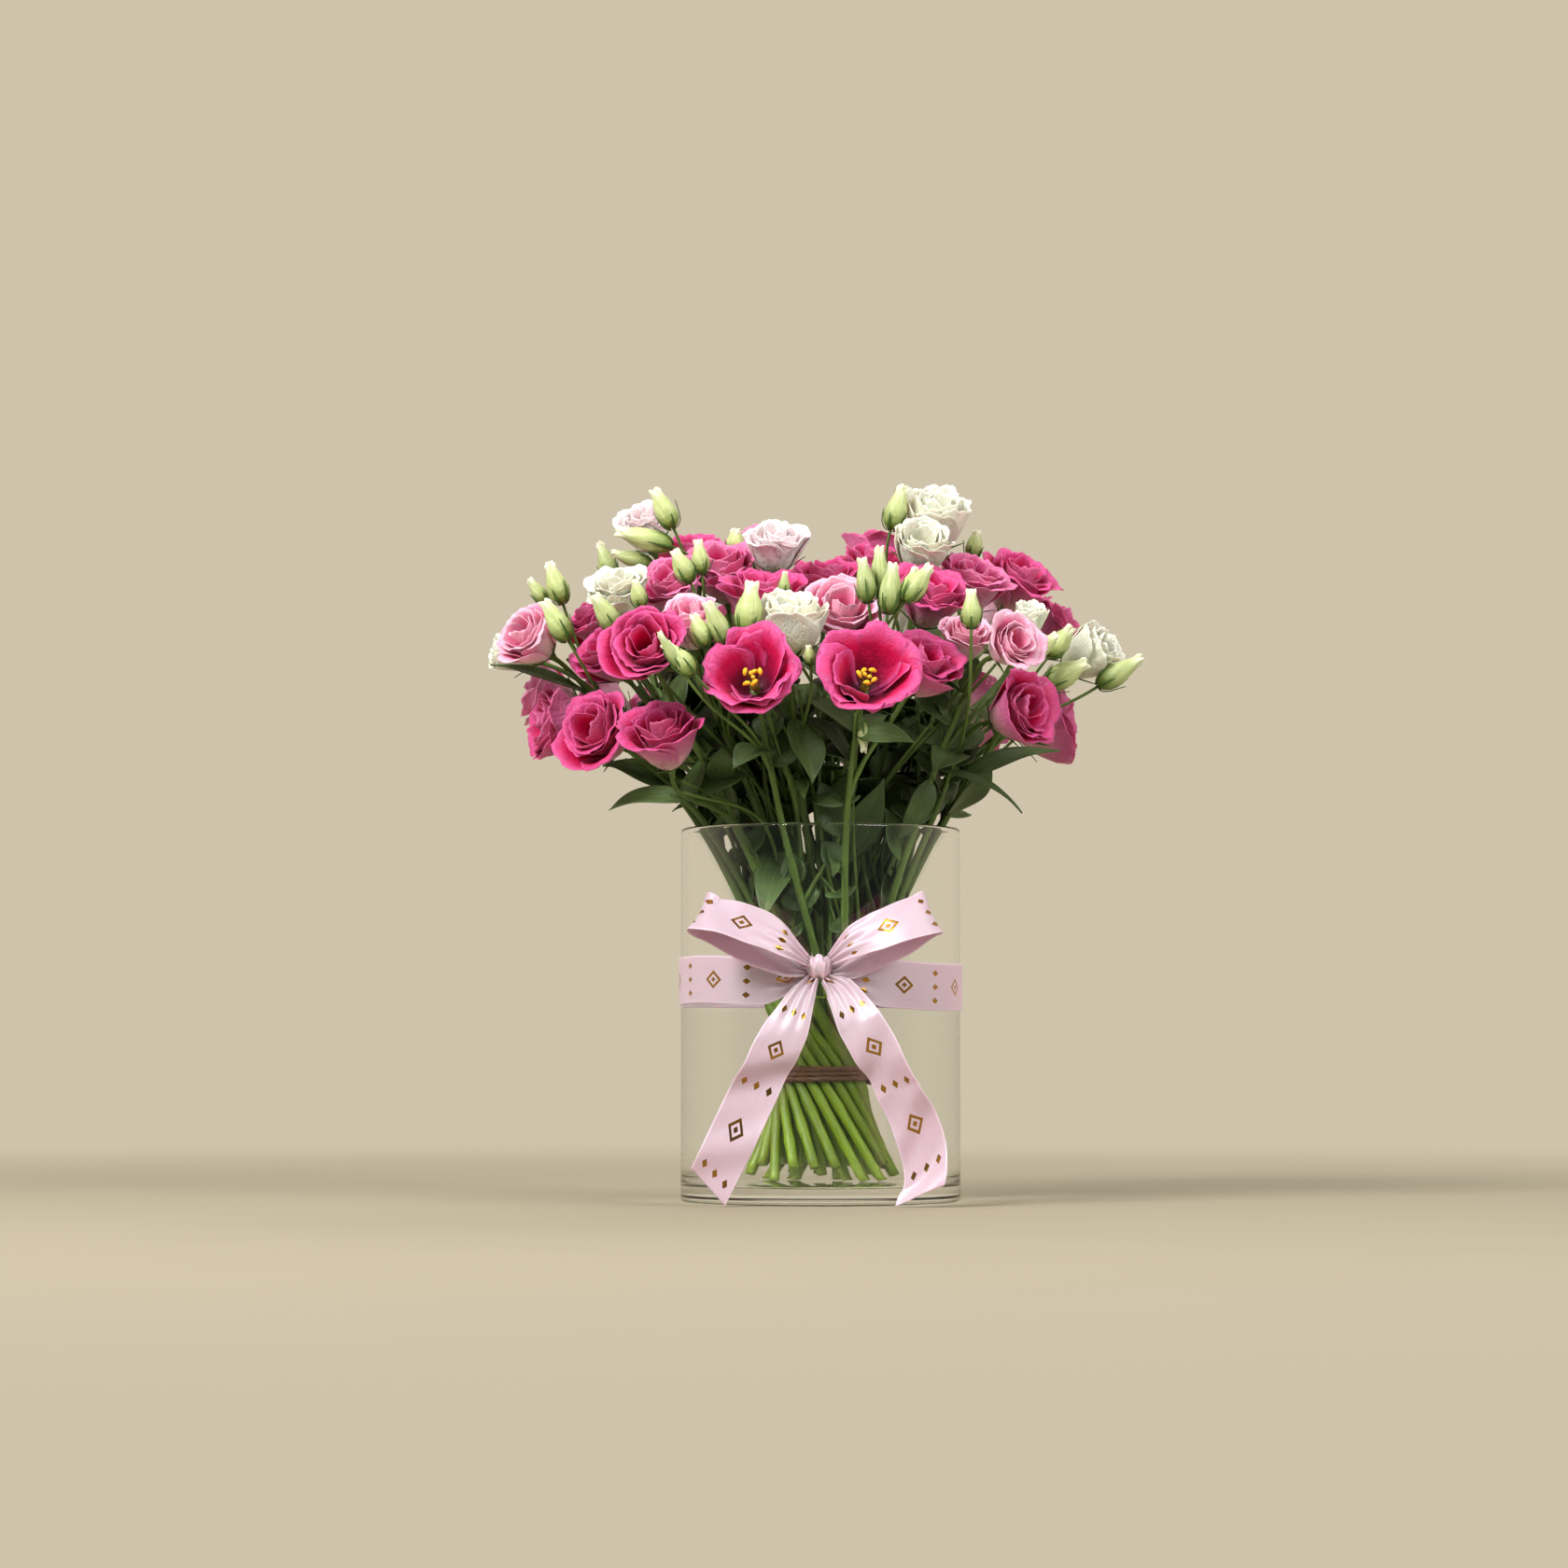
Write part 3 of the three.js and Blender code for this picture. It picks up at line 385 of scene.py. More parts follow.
# %% Whorls and side views
# Each whorl is (petals, openness); the profile points are shares of radius and height for a closed and
# for a fully open petal.
KINDS = {
    "full": {
        "whorls": ((4, 1.0), (3, 0.78), (3, 0.54), (2, 0.34), (2, 0.16)),
        "closed": ((0.05, 0.02), (0.17, 0.3), (0.22, 0.7), (0.15, 1.0)),
        "open": ((0.07, 0.0), (0.58, 0.06), (0.72, 0.6), (1.0, 0.8)),
        "ruffle": 0.088, "lip": 0.16, "width": 1.24,
    },
    "rose": {
        "whorls": ((4, 1.0), (4, 0.78), (3, 0.56), (2, 0.36), (2, 0.18)),
        "closed": ((0.05, 0.02), (0.2, 0.3), (0.22, 0.7), (0.13, 0.97)),
        "open": ((0.07, 0.0), (0.7, 0.05), (0.78, 0.6), (1.0, 0.76)),
        "ruffle": 0.07, "lip": 0.16, "width": 1.16,
    },
    "open": {
        "whorls": ((4, 1.0), (4, 0.84), (3, 0.62)),
        "closed": ((0.05, 0.02), (0.4, 0.2), (0.42, 0.74), (0.5, 1.04)),
        "open": ((0.07, 0.0), (0.6, 0.02), (0.66, 0.76), (1.0, 0.86)),
        "ruffle": 0.13, "lip": 0.14, "width": 1.14,
    },
    "cup": {
        "whorls": ((4, 1.0), (4, 0.8), (3, 0.58), (3, 0.36), (2, 0.2)),
        "closed": ((0.05, 0.02), (0.4, 0.2), (0.3, 0.7), (0.3, 0.97)),
        "open": ((0.07, 0.0), (0.9, 0.04), (0.86, 0.6), (1.0, 0.94)),
        "ruffle": 0.085, "lip": 0.08, "width": 1.1,
    },
}


def bezier(points, t):
    """A cubic curve from the first of four points to the last: the points weighted by (1 - t)^3,
    3 t (1 - t)^2, 3 t^2 (1 - t) and t^3."""
    weights = ((1 - t) ** 3, 3 * t * (1 - t) ** 2, 3 * t * t * (1 - t), t ** 3)
    return sum(w[..., None] * np.asarray(p) for w, p in zip(weights, points))


# %% One petal
def petal_grid(kind, openness, azimuth, radius, height, chance, rows=17, columns=19):
    """The middle surface of a petal, with its bloom's base at the origin and its axis up.

    With u from -1 to 1 across and v from 0 to 1 up the sheet, t = v (1 - 0.3 |u|^2.6 + ragged margin)
    is the place on the side view, which gives the distance r from the axis and the height z. The angle
    round the axis is azimuth + u w, where w is the half width divided by r. One edge lies further out
    than the other, so that neighbours overlap. Sine waves along the normal, growing with t^3, ruffle
    the margin. Two soft folds, each the root of x^2 + 0.05^2 with x the distance from a slanting line,
    part the petal into broad planes. The sum is capped by tanh. Beyond the bloom's radius only a third of
    the reach is kept, so that no tip runs out to a thread."""
    look = KINDS[kind]
    v, u = np.mgrid[0:1:rows * 1j, -1:1:columns * 1j]
    phase = chance.uniform(0, 2 * np.pi, 6)
    ragged = 0.03 * np.sin(8 * u + phase[0]) + 0.016 * np.sin(19 * u + phase[1])
    t = v * (1 - 0.3 * np.abs(u) ** 2.6 + ragged * v ** 4)
    side = mix(np.array(look["closed"]), np.array(look["open"]), openness ** 0.85)
    r, z = np.moveaxis(bezier(side, t), -1, 0)
    size = chance.uniform(0.88, 1.05)
    r, z = r * radius * size, z * height * mix(1, size, 0.5)
    lip = look["lip"] * radius * openness * chance.uniform(0.1, 1.9)
    r = r + lip * smooth(t, 0.7, 1.05) ** 2
    z = z - lip * 0.7 * smooth(t, 0.78, 1.05) ** 2
    lean = chance.uniform(-0.12, 0.1) * openness
    r, z = r + lean * z, z - lean * r * 0.5
    half_width = look["width"] * radius * mix(0.75, 1.0, openness)
    half_width = half_width * (0.24 + 0.76 * smooth(t, -0.05, 0.6))
    most = math.radians(mix(105, 78, openness))
    turn = most * np.tanh(half_width / np.maximum(r, 0.5) / most)
    shingle = mix(0.17, 0.07, openness) * u * smooth(t, 0.05, 0.5)
    flat = 0.1 * openness * u ** 2 * smooth(t, 0.4, 1)
    r = r * (1 + shingle + flat)
    angle = azimuth + turn * u
    grid = np.stack([r * np.cos(angle), r * np.sin(angle), z], axis=-1)
    deep = look["ruffle"] * radius * mix(0.45, 1, openness)
    wave = np.sin(math.pi * chance.uniform(0.8, 1.5) * u + phase[2]) * 0.8 * t ** 1.6
    wave += np.sin(math.pi * chance.uniform(1.8, 2.8) * u + phase[3]) * 0.5 * t ** 3
    wave += np.sin(math.pi * chance.uniform(4.5, 6.5) * u + phase[4]) * 0.26 * t ** 5
    for middle, slant, depth in chance.uniform(-1, 1, (2, 3)):
        wave += np.hypot(u - 0.6 * middle + 0.9 * slant * (t - 0.6), 0.05) * 1.8 * depth * t ** 2
    wave = 2.2 * np.tanh(wave / 2.2)
    crease = 0.04 * np.sin(9 * u + 5 * t + phase[5]) * t
    grid = grid + normals_of(grid) * ((wave * deep) + crease * deep)[..., None]
    reach = np.hypot(grid[..., 0], grid[..., 1])
    kept = np.minimum(reach, radius + (reach - radius) / 3)
    grid[..., :2] *= (kept / np.maximum(reach, 0.1))[..., None]
    return grid


# %% One bloom
PETAL_FOOT, PETAL_MARGIN = 0.45, 0.2  # thickness
REACH_KEPT, HEIGHT_KEPT = 0.95, 0.97  # of the solid's, because the waves reach a little further


def bloom_bodies(name, bloom, kind):
    """All petals of a bloom, whorl by whorl, turned to face as its solid does."""
    chance = np.random.default_rng(sum(map(ord, name)) * 7 + 5)
    look = KINDS[kind]
    axes = axes_facing(bloom["facing"], chance.uniform(0, 2 * np.pi))
    radius, height = bloom["radius"] * REACH_KEPT, bloom["height"] * HEIGHT_KEPT
    bodies = []
    start = 0.0
    for count, openness in look["whorls"]:
        start += math.pi / count + chance.uniform(-0.2, 0.2)
        for k in range(count):
            azimuth = start + 2 * math.pi * k / count + chance.uniform(-0.12, 0.12)
            near = openness * chance.uniform(0.78, 1.0)
            grid = petal_grid(kind, near, azimuth, radius, height, chance)
            thickness = np.linspace(PETAL_FOOT, PETAL_MARGIN, len(grid))[:, None]
            bodies.append(blade(grid @ axes + bloom["base"], thickness, tone=chance.uniform(0, 1)))
    return bodies


# %% Petals of every bloom
ROSE_LIKE = ("petals_light_pink", "petals_pale_pink")
for name, bloom in blooms.items():
    slot = SLOT_OF["bloom_" + name]
    kind = "rose" if slot in ROSE_LIKE and bloom["kind"] == "full" else bloom["kind"]
    piece("petals_" + name, bloom_bodies(name, bloom, kind), petal_materials[slot], slot, "bloom_" + name)
print("bloom pieces", len(blooms))

# %% [markdown]
# ## Stamens
#
# The two wide open blooms show five golden anthers on thin filaments round a green pistil with a
# two-lobed stigma. Each is a small tube whose radius follows a profile.

# %% Tube along a path
def frames_along(path):
    """Two unit vectors across a path at each of its points. The first is a fixed vector, square to the
    line from end to end, with its part along the path taken away."""
    along = unit(np.gradient(path, axis=0))
    chord = unit(path[-1] - path[0])
    fixed = np.cross(chord, np.eye(3)[np.argmin(np.abs(chord))])
    first = unit(fixed - (along @ fixed)[:, None] * along)
    return first, np.cross(along, first)


def tube_along(path, radii, sides=8, tone=0.5):
    """A round tube: at each point of the path a ring, radius (cos a, sin a) along the two vectors that
    lie across it."""
    first, second = frames_along(path)
    a = np.linspace(0, 2 * np.pi, sides, endpoint=False)
    ring = np.cos(a)[None, :, None] * first[:, None] + np.sin(a)[None, :, None] * second[:, None]
    return tube(path[:, None] + ring * np.broadcast_to(radii, len(path))[:, None, None], tone)


# %% Stamen material
def stamen_material():
    """Anthers split open show dry golden pollen; filaments and pistil are moist and green. The mark tone
    is 1 on the anthers and 0 on the rest, and the grain is drawn as 0.5 mm clumps of pollen."""
    material, tree = new_material("stamens_and_pistil")
    place = add(tree, "TexCoord").outputs["Object"]
    tone = add(tree, "Attribute", {"attribute_name": "tone"}).outputs["Fac"]
    grain = add(tree, "TexNoise", {"Scale": 2000.0, "Detail": 3.0}, {"Vector": place})
    gold = add(tree, "Mix", {**RGBA, 6: srgb("#D09208"), 7: srgb("#FBDA2C")}, {0: grain}).outputs[2]
    colour = add(tree, "Mix", {**RGBA, 6: srgb("#7F8F2E")}, {0: tone, 7: gold}).outputs[2]
    bump = add(tree, "Bump", {"Strength": 0.6, "Distance": 0.0003}, {"Height": grain})
    shader = add(tree, "BsdfPrincipled", {"Roughness": 0.75}, {"Base Color": colour, "Normal": bump})
    add(tree, "OutputMaterial", links={0: shader})
    return material


pollen = stamen_material()
print("stamen material", pollen.name)


# %% Stamens and pistil
STAMENS = 5
ANTHER_LENGTH = 4.2


def stamen_bodies(bloom, chance):
    """Curved filaments with anthers round a pistil with two lobes, made in a bloom's own frame."""
    axes = axes_facing(bloom["facing"], chance.uniform(0, 6))
    top = bloom["height"] * 0.56
    t = np.linspace(0, 1, 14)
    bodies = []
    for k in range(STAMENS):
        angle = 2 * math.pi * k / STAMENS + chance.uniform(-0.3, 0.3)
        out = mix(1.2, chance.uniform(3.0, 4.8), t ** 1.4)
        rise = mix(3, top - chance.uniform(0, 2.5), t)
        path = np.stack([out * np.cos(angle), out * np.sin(angle), rise], axis=1)
        bodies.append(tube_along(path, 0.3, 6, tone=0.0))
        turn = angle + chance.uniform(0.6, 2.4)
        lie = np.stack([np.cos(turn) * (t - 0.5) * ANTHER_LENGTH, np.sin(turn) * (t - 0.5) * ANTHER_LENGTH,
                        np.sin(3.1 * t) + (t - 0.5) * chance.uniform(-2, 2)], axis=1)
        bodies.append(tube_along(path[-1] + lie, 0.25 + 0.95 * np.sin(np.pi * t) ** 0.6, 8, tone=1.0))
    column = np.stack([0 * t, 0 * t, mix(1, top - 1.5, t)], axis=1)
    bodies.append(tube_along(column, 0.6 + 1.9 * np.exp(-((t - 0.3) / 0.22) ** 2), 10, tone=0.0))
    for side in (-1, 1):
        rise = top - 1.5 + 1.4 * np.sin(np.pi * t * 0.7)
        lobe = np.stack([side * (0.3 + 2.2 * t), 0 * t, rise], axis=1)
        bodies.append(tube_along(lobe, 0.3 + 0.85 * np.sin(np.pi * t) ** 0.7, 8, tone=0.75))
    return [in_place(body, axes, bloom["base"]) for body in bodies]


for name, bloom in blooms.items():
    if bloom["kind"] == "open":
        bodies = stamen_bodies(bloom, np.random.default_rng(len(name)))
        piece("anthers_" + name, bodies, pollen, "stamens", "stamens_" + name)
print("stamens in", [name for name, bloom in blooms.items() if bloom["kind"] == "open"])

# %% [markdown]
# ## Stems
#
# The stems are cut to one length and held in a spiral: each leans the same way round, so that they cross
# like a waist at the twine and fan out above and below it. The rule is the solid model's own: blooms far
# from the axis take the outer rings of the bundle, round each ring the stems keep the order of their
# blooms, and every stem is a smooth curve through foot, waist, shoulder, vase rim, neck and bloom.

# %% The bundle's rule
GAP = 0.3  # between pieces that touch, so that no two solids overlap
TIE_HEIGHT = 68.0
STEM_FOOT, STEM_TOP = 2.3, 1.25  # radii
VASE_RADIUS, VASE_HEIGHT, VASE_WALL, VASE_FLOOR = 75.0, 200.0, 3.0, 9.0
BUNDLE_RINGS = (18, 12, 6, 1)  # stems in each ring of the bundle, from the outermost
RING_PITCH = 5.1
FOOT_SPIRAL = 0.031  # how far a stem runs sideways below the tie, per millimetre from the axis and down
RIM_REACH = 64.5  # how far from the axis the outer stems pass the vase's rim
SPIRAL_ADVANCE = math.radians(78)  # how far the spiral turns from the tie to the blooms
CALYX_LENGTH = 7.0
MIDDLE = 0.55
NOMINAL = {"full": 1.06, "cup": 1.06, "open": 1.029}  # highest point of a bloom over its height
# Blooms on a side branch, and the bloom whose stem it leaves, at 74 % of that stem's way.
FORK = 0.74
HOSTS = {
    "behind_open_right": "open_right",
    "left_back": "left_end",
    "top_mid": "wide_top",
    "arc_left": "pale_top_left",
    "light_right_back": "light_right",
    "pale_top": "wide_mid",
    "white_left": "left_swirl",
    "white_top_low": "white_top",
    "white_right_bud": "light_right",
    "white_far_left": "light_left",
}


def middle_of(bloom):
    """The point at 55 % of a bloom's height, which its place in the bundle goes by."""
    return bloom["base"] + bloom["facing"] * bloom["height"] / NOMINAL[bloom["kind"]] * MIDDLE


def azimuth_of(point):
    """The angle of a point round the vase's axis."""
    return math.atan2(point[1], point[0])


def reach_of(point):
    """The distance of a point from the vase's axis."""
    return math.hypot(point[0], point[1])


def point_at(reach, azimuth, height):
    """The point at a distance from the vase's axis, an angle round it and a height."""
    return np.array([reach * math.cos(azimuth), reach * math.sin(azimuth), height])


# %% Smooth curves
def through(points, steps=60):
    """A smooth curve through points: between two of them a cubic whose end slopes come from their
    neighbours, with knots spaced by the square root of the distance. Returned evenly spaced."""
    p = np.array([2 * points[0] - points[1], *points, 2 * points[-1] - points[-2]])
    gap = np.linalg.norm(np.diff(p, axis=0), axis=1)[:, None] ** 0.5
    a, b, c, d = p[:-3], p[1:-2], p[2:-1], p[3:]
    g0, g1, g2 = gap[:-2], gap[1:-1], gap[2:]
    slope_b = ((b - a) / g0 - (c - a) / (g0 + g1) + (c - b) / g1) * g1
    slope_c = ((c - b) / g1 - (d - b) / (g1 + g2) + (d - c) / g2) * g1
    t = np.linspace(0, 1, 24, endpoint=False)[:, None, None]
    curve = ((2 * t ** 3 - 3 * t ** 2 + 1) * b + (t ** 3 - 2 * t ** 2 + t) * slope_b
             + (3 * t ** 2 - 2 * t ** 3) * c + (t ** 3 - t ** 2) * slope_c)
    return evenly(np.concatenate([curve.transpose(1, 0, 2).reshape(-1, 3), points[-1:]]), steps)


def evenly(path, steps):
    """The same path with its points at equal distances along it."""
    run = np.concatenate([[0], np.cumsum(np.linalg.norm(np.diff(path, axis=0), axis=1))])
    wanted = np.linspace(0, run[-1], steps)
    return np.stack([np.interp(wanted, run, path[:, k]) for k in range(3)], axis=1)


def stem_path(bloom, waist_angle, ring):
    """A stem from its cut foot through the tie and over the vase's rim to its bloom."""
    waist = np.array([math.cos(waist_angle), math.sin(waist_angle), 0]) * ring * RING_PITCH
    waist[2] = TIE_HEIGHT
    below = VASE_FLOOR + GAP + STEM_FOOT / 2 - TIE_HEIGHT
    foot = waist + np.array([waist[1], -waist[0], 0]) * FOOT_SPIRAL * below
    foot[2] = TIE_HEIGHT + below
    top = bloom["base"] - bloom["facing"] * GAP
    neck = top - bloom["facing"] * CALYX_LENGTH * 2
    rim_reach = min(RIM_REACH * (ring + 0.3) / 3.3, reach_of(neck))
    rim = point_at(rim_reach, azimuth_of(neck), VASE_HEIGHT)
    return through(np.array([foot, waist, mix(waist, rim, 0.2), rim, neck, top]))


def branch_path(host, share, end, direction, steps=24):
    """A side branch: a cubic curve that leaves its host along the stem and arrives along direction."""
    k = int(round(share * (len(host) - 1)))
    start, along = host[k], unit(host[k + 1] - host[k - 1])
    reach = np.linalg.norm(end - start) * 0.4
    points = (start, start + along * reach, end - direction * reach, end)
    return evenly(bezier(points, np.linspace(0, 1, 40)), steps)


# %% Stem and branch curves
rooted = sorted((n for n in blooms if n not in HOSTS), key=lambda n: -reach_of(middle_of(blooms[n])))
paths = {}
placed = 0
for ring, count in zip(range(len(BUNDLE_RINGS) - 1, -1, -1), BUNDLE_RINGS):
    members = sorted(rooted[placed:placed + count], key=lambda n: azimuth_of(middle_of(blooms[n])))
    placed += count
    for k, name in enumerate(members):
        turn = 2 * math.pi * (k + 0.5) / len(members) - math.pi + SPIRAL_ADVANCE
        paths[name] = stem_path(blooms[name], turn, ring)
for name, host in HOSTS.items():
    end = blooms[name]["base"] - blooms[name]["facing"] * GAP
    paths[name] = branch_path(paths[host], FORK, end, blooms[name]["facing"], 30)
print("stems", len(rooted), "branches", len(HOSTS))

# %% [markdown]
# A lisianthus stem is round, smooth and waxy, thicker where a pair of leaves grew, and brighter green
# where it stands in water. The material reads the height in the vase: yellow-green below the water line,
# a duller green above it.

# %% Greenery material
WATER_LEVEL = 108.0
WET_END, DRY_START = -20.0, 12.0  # from 20 mm below the water line to 12 mm above it, the green changes
VEIN_GREEN, BACK_GREEN = "#71894B", "#6C8250"


def vein_pattern(tree, uv):
    """A leaf's midrib, at u = 0.5, and two side veins, 0.24 to each side of it, as a value up to 1."""
    aside = away_from(tree, add(tree, "SeparateXYZ", links={0: uv}), 0.5)
    rib = add(tree, "MapRange", {**SOFT, 1: 0.0, 2: 0.03, 3: 1.0, 4: 0.0}, {0: aside})
    side_vein = add(tree, "MapRange", {**SOFT, 1: 0.0, 2: 0.018, 3: 0.6, 4: 0.0},
                    {0: away_from(tree, aside, 0.24)})
    return add(tree, "Math", {"operation": "MAXIMUM"}, {0: rib, 1: side_vein})


def greenery_material(name, low, high, blade_marks=False):
    """Living green tissue: a waxy cuticle with a soft gloss, streaked along its length. Its colour is low
    in the water and high above it. blade_marks draws the veins of a leaf and makes its back paler."""
    material, tree = new_material(name)
    place = add(tree, "TexCoord").outputs["Object"]
    uv = add(tree, "UVMap", {"uv_map": "surface"})
    tone = add(tree, "Attribute", {"attribute_name": "tone"}).outputs["Fac"]
    height = add(tree, "SeparateXYZ", links={0: place}).outputs[2]
    blend = {**SOFT, 1: (WATER_LEVEL + WET_END) * MM, 2: (WATER_LEVEL + DRY_START) * MM}
    dry = add(tree, "MapRange", blend, {0: height})
    colour = add(tree, "Mix", {**RGBA, 6: srgb(low), 7: srgb(high)}, {0: dry}).outputs[2]
    grain, shade = streaked(tree, uv, (14.0, 3.0, 1.0), 3.0, 0.8, 1.15)
    cloud = add(tree, "TexNoise", {"Scale": 90.0, "Detail": 2.0}, {"Vector": place})
    patch = add(tree, "MapRange", {1: 0.3, 2: 0.7, 3: 0.85, 4: 1.15}, {0: cloud})
    own = add(tree, "MapRange", {3: 0.72, 4: 1.28}, {0: tone})
    if blade_marks:
        grain = vein_pattern(tree, uv)
        soft = add(tree, "Math", {"operation": "MULTIPLY", 1: 0.5}, {0: grain})
        colour = add(tree, "Mix", {**RGBA, 7: srgb(VEIN_GREEN)}, {0: soft, 6: colour}).outputs[2]
        inside = add(tree, "Attribute", {"attribute_name": "inside"}).outputs["Fac"]
        back = add(tree, "MapRange", {3: 0.35, 4: 0.0}, {0: inside})
        colour = add(tree, "Mix", {**RGBA, 7: srgb(BACK_GREEN)}, {0: back, 6: colour}).outputs[2]
    bump = add(tree, "Bump", {"Strength": 0.4, "Distance": 0.0005}, {"Height": grain})
    shader = add(tree, "BsdfPrincipled", {
        "Roughness": 0.45,
        "Specular IOR Level": 0.35,
        "Subsurface Weight": 0.12,
        "Subsurface Radius": (0.5, 1.0, 0.25),
        "Subsurface Scale": 0.0015,
    }, {"Base Color": shaded(tree, colour, shade, patch, own), "Normal": bump})
    add(tree, "OutputMaterial", links={0: shader})
    return material


stem_green = greenery_material("lisianthus_stem", "#617704", "#586F30")
leaf_green = greenery_material("lisianthus_leaf", "#32450E", "#2A3F0C", blade_marks=True)

# %% Stems with leaf joints
chance = np.random.default_rng(11)
JOINT_STEP, JOINT_LENGTH, JOINT_SWELLING = 55.0, 3.0, 0.22  # of the leaf joints along a stem
# How far along the bloom's axis from its base, and the radius there.
CALYX_PROFILE = ((-CALYX_LENGTH, 1.2), (-4.5, 1.5), (-2.5, 2.3), (-1.0, 3.0), (0.3, 3.4), (1.2, 2.6))


def stem_radii(count, foot, top, length):
    """Radius from foot to top, thinning with the square of the way, with a swelling at each leaf joint,
    worked out as a bell curve."""
    way = np.linspace(0, 1, count)
    run = way * length
    joints = np.arange(chance.uniform(20, 60), length - 12, JOINT_STEP)
    swell = np.exp(-((run[:, None] - joints[None]) / JOINT_LENGTH) ** 2).sum(axis=1)
    return mix(foot, top, way * way) * (1 + JOINT_SWELLING * swell)


def calyx(bloom):
    """The green cup below the petals: a short tube that flares from the stem to the bloom's foot."""
    rise, radii = np.array(CALYX_PROFILE).T
    return tube_along(bloom["base"] + bloom["facing"] * rise[:, None], radii, 12, 0.55)


# The stems were cut by hand, so each starts 0 to 2 steps of its path, up to 12 mm, above the lowest.
stem_bodies = []
for name in blooms:
    length = np.linalg.norm(np.diff(paths[name], axis=0), axis=1).sum()
    foot = STEM_TOP * 1.1 if name in HOSTS else STEM_FOOT
    radii = stem_radii(len(paths[name]), foot, STEM_TOP, length)
    cut = 0 if name in HOSTS else chance.integers(0, 3)
    stem_bodies.append(tube_along(paths[name][cut:], radii[cut:], 10, chance.uniform(0.2, 0.8)))
    stem_bodies.append(calyx(blooms[name]))

print("stem bodies", len(stem_bodies))

# %% Side branches
# Thin side branches fill the bundle up to the blooms. Each leaves a stem inside the vase, passes over the
# rim clear of the glass, and ends out of sight behind the calyx of a bloom near by.
SIDE_BRANCHES = 110
hosts = sorted(rooted)
for k in range(SIDE_BRANCHES):
    host = hosts[(k * 11) % len(hosts)]
    near = sorted(rooted, key=lambda n: np.linalg.norm(blooms[n]["base"] - blooms[host]["base"]))[:6]
    goal = blooms[near[chance.integers(len(near))]]
    end = goal["base"] - goal["facing"] * chance.uniform(8, 16) + chance.uniform(-5, 5, 3)
    below = paths[host][paths[host][:, 2] < VASE_HEIGHT * 0.8]
    start = below[-1 - chance.integers(0, 10)]
    rim_reach = min(RIM_REACH * chance.uniform(0.3, 0.86), reach_of(end))
    rim = point_at(rim_reach, azimuth_of(end) + chance.uniform(-0.15, 0.15), VASE_HEIGHT)
    side_path = through(np.array([start, rim, end]), 24)
    stem_bodies.append(tube_along(side_path, np.linspace(1.15, 0.8, 24), 8, chance.uniform(0.0, 0.8)))
print("side branches", SIDE_BRANCHES)

# %% [markdown]
# ## Buds and sepals
#
# A bud is a tight egg of petals wound in a spiral, pale green with a creamy twisted tip, and five narrow
# green sepals hug it. The winding is a saw-tooth round the bud: the radius climbs along each petal and
# drops at its edge, and the edges climb the bud as a spiral.

# %% Places of buds and leaves in front, as on the solid model
# The stem a bud branches from, its base, its tip and its radius, in millimetres.
BUDS = [
    ("pale_top_left", (-79, -18, 361), (-89, -21, 381), 5.2),
    ("pale_top_left", (-80, -16, 351), (-109, -19, 359), 5.4),
    ("pale_top_left", (-91, -8, 342), (-112, -11, 348), 4),
    ("light_left", (-138, -22, 320), (-145, -26, 341), 5),
    ("light_left", (-147, -18, 320), (-156, -20, 333), 3.6),
    ("light_left", (-133, -70, 296), (-145, -74, 316), 5.2),
    ("left_mid", (-107, -88, 300), (-118, -92, 317), 5.2),
    ("left_mid", (-94, -88, 312), (-97, -93, 325), 3.6),
    ("pink_top_left", (-69, -66, 327), (-77, -69, 343), 4.8),
    ("pink_top_left", (-63, -50, 333), (-65, -53, 350), 4.2),
    ("open_left", (-66, -136, 273), (-80, -141, 288), 4.8),
    ("open_left", (-72, -139, 275), (-83, -144, 293), 2.8),
    ("light_mid_left", (-49, -112, 290), (-59, -115, 311), 5),
    ("light_mid_left", (-60, -112, 289), (-66, -114, 305), 4.6),
    ("white_mid", (-39, -106, 296), (-36, -109, 322), 6.2),
    ("light_mid", (-20, -84, 318), (-19, -87, 330), 2.6),
    ("right_mid", (24, -100, 313), (21, -103, 335), 4.6),
    ("right_mid", (30, -92, 316), (30, -95, 342), 4.4),
    ("light_mid", (34, -104, 307), (37, -107, 332), 5),
    ("light_mid", (43, -106, 313), (56, -109, 331), 5),
    ("right_mid", (42, -86, 315), (49, -89, 332), 3.4),
    ("low_right", (77, -108, 299), (77, -111, 318), 4.6),
    ("right_top", (83, 28, 350), (86, 25, 364), 4.2),
    ("white_right", (121, -40, 290), (133, -43, 305), 5),
    ("white_right", (112, -54, 289), (124, -57, 300), 4),
    ("white_right", (120, -34, 275), (141, -37, 287), 6),
    ("white_right", (149, -14, 276), (172, -17, 291), 5.2),
    ("white_top", (38, 0, 362), (45, -3, 385), 5.4),
    ("open_right", (21, -84, 252), (22, -92, 236), 3),
    ("top_rose", (-46, 22, 352), (-46, 18, 364), 4.6),
    ("white_mid", (-6, -112, 280), (-7, -115, 289), 2.6),
]
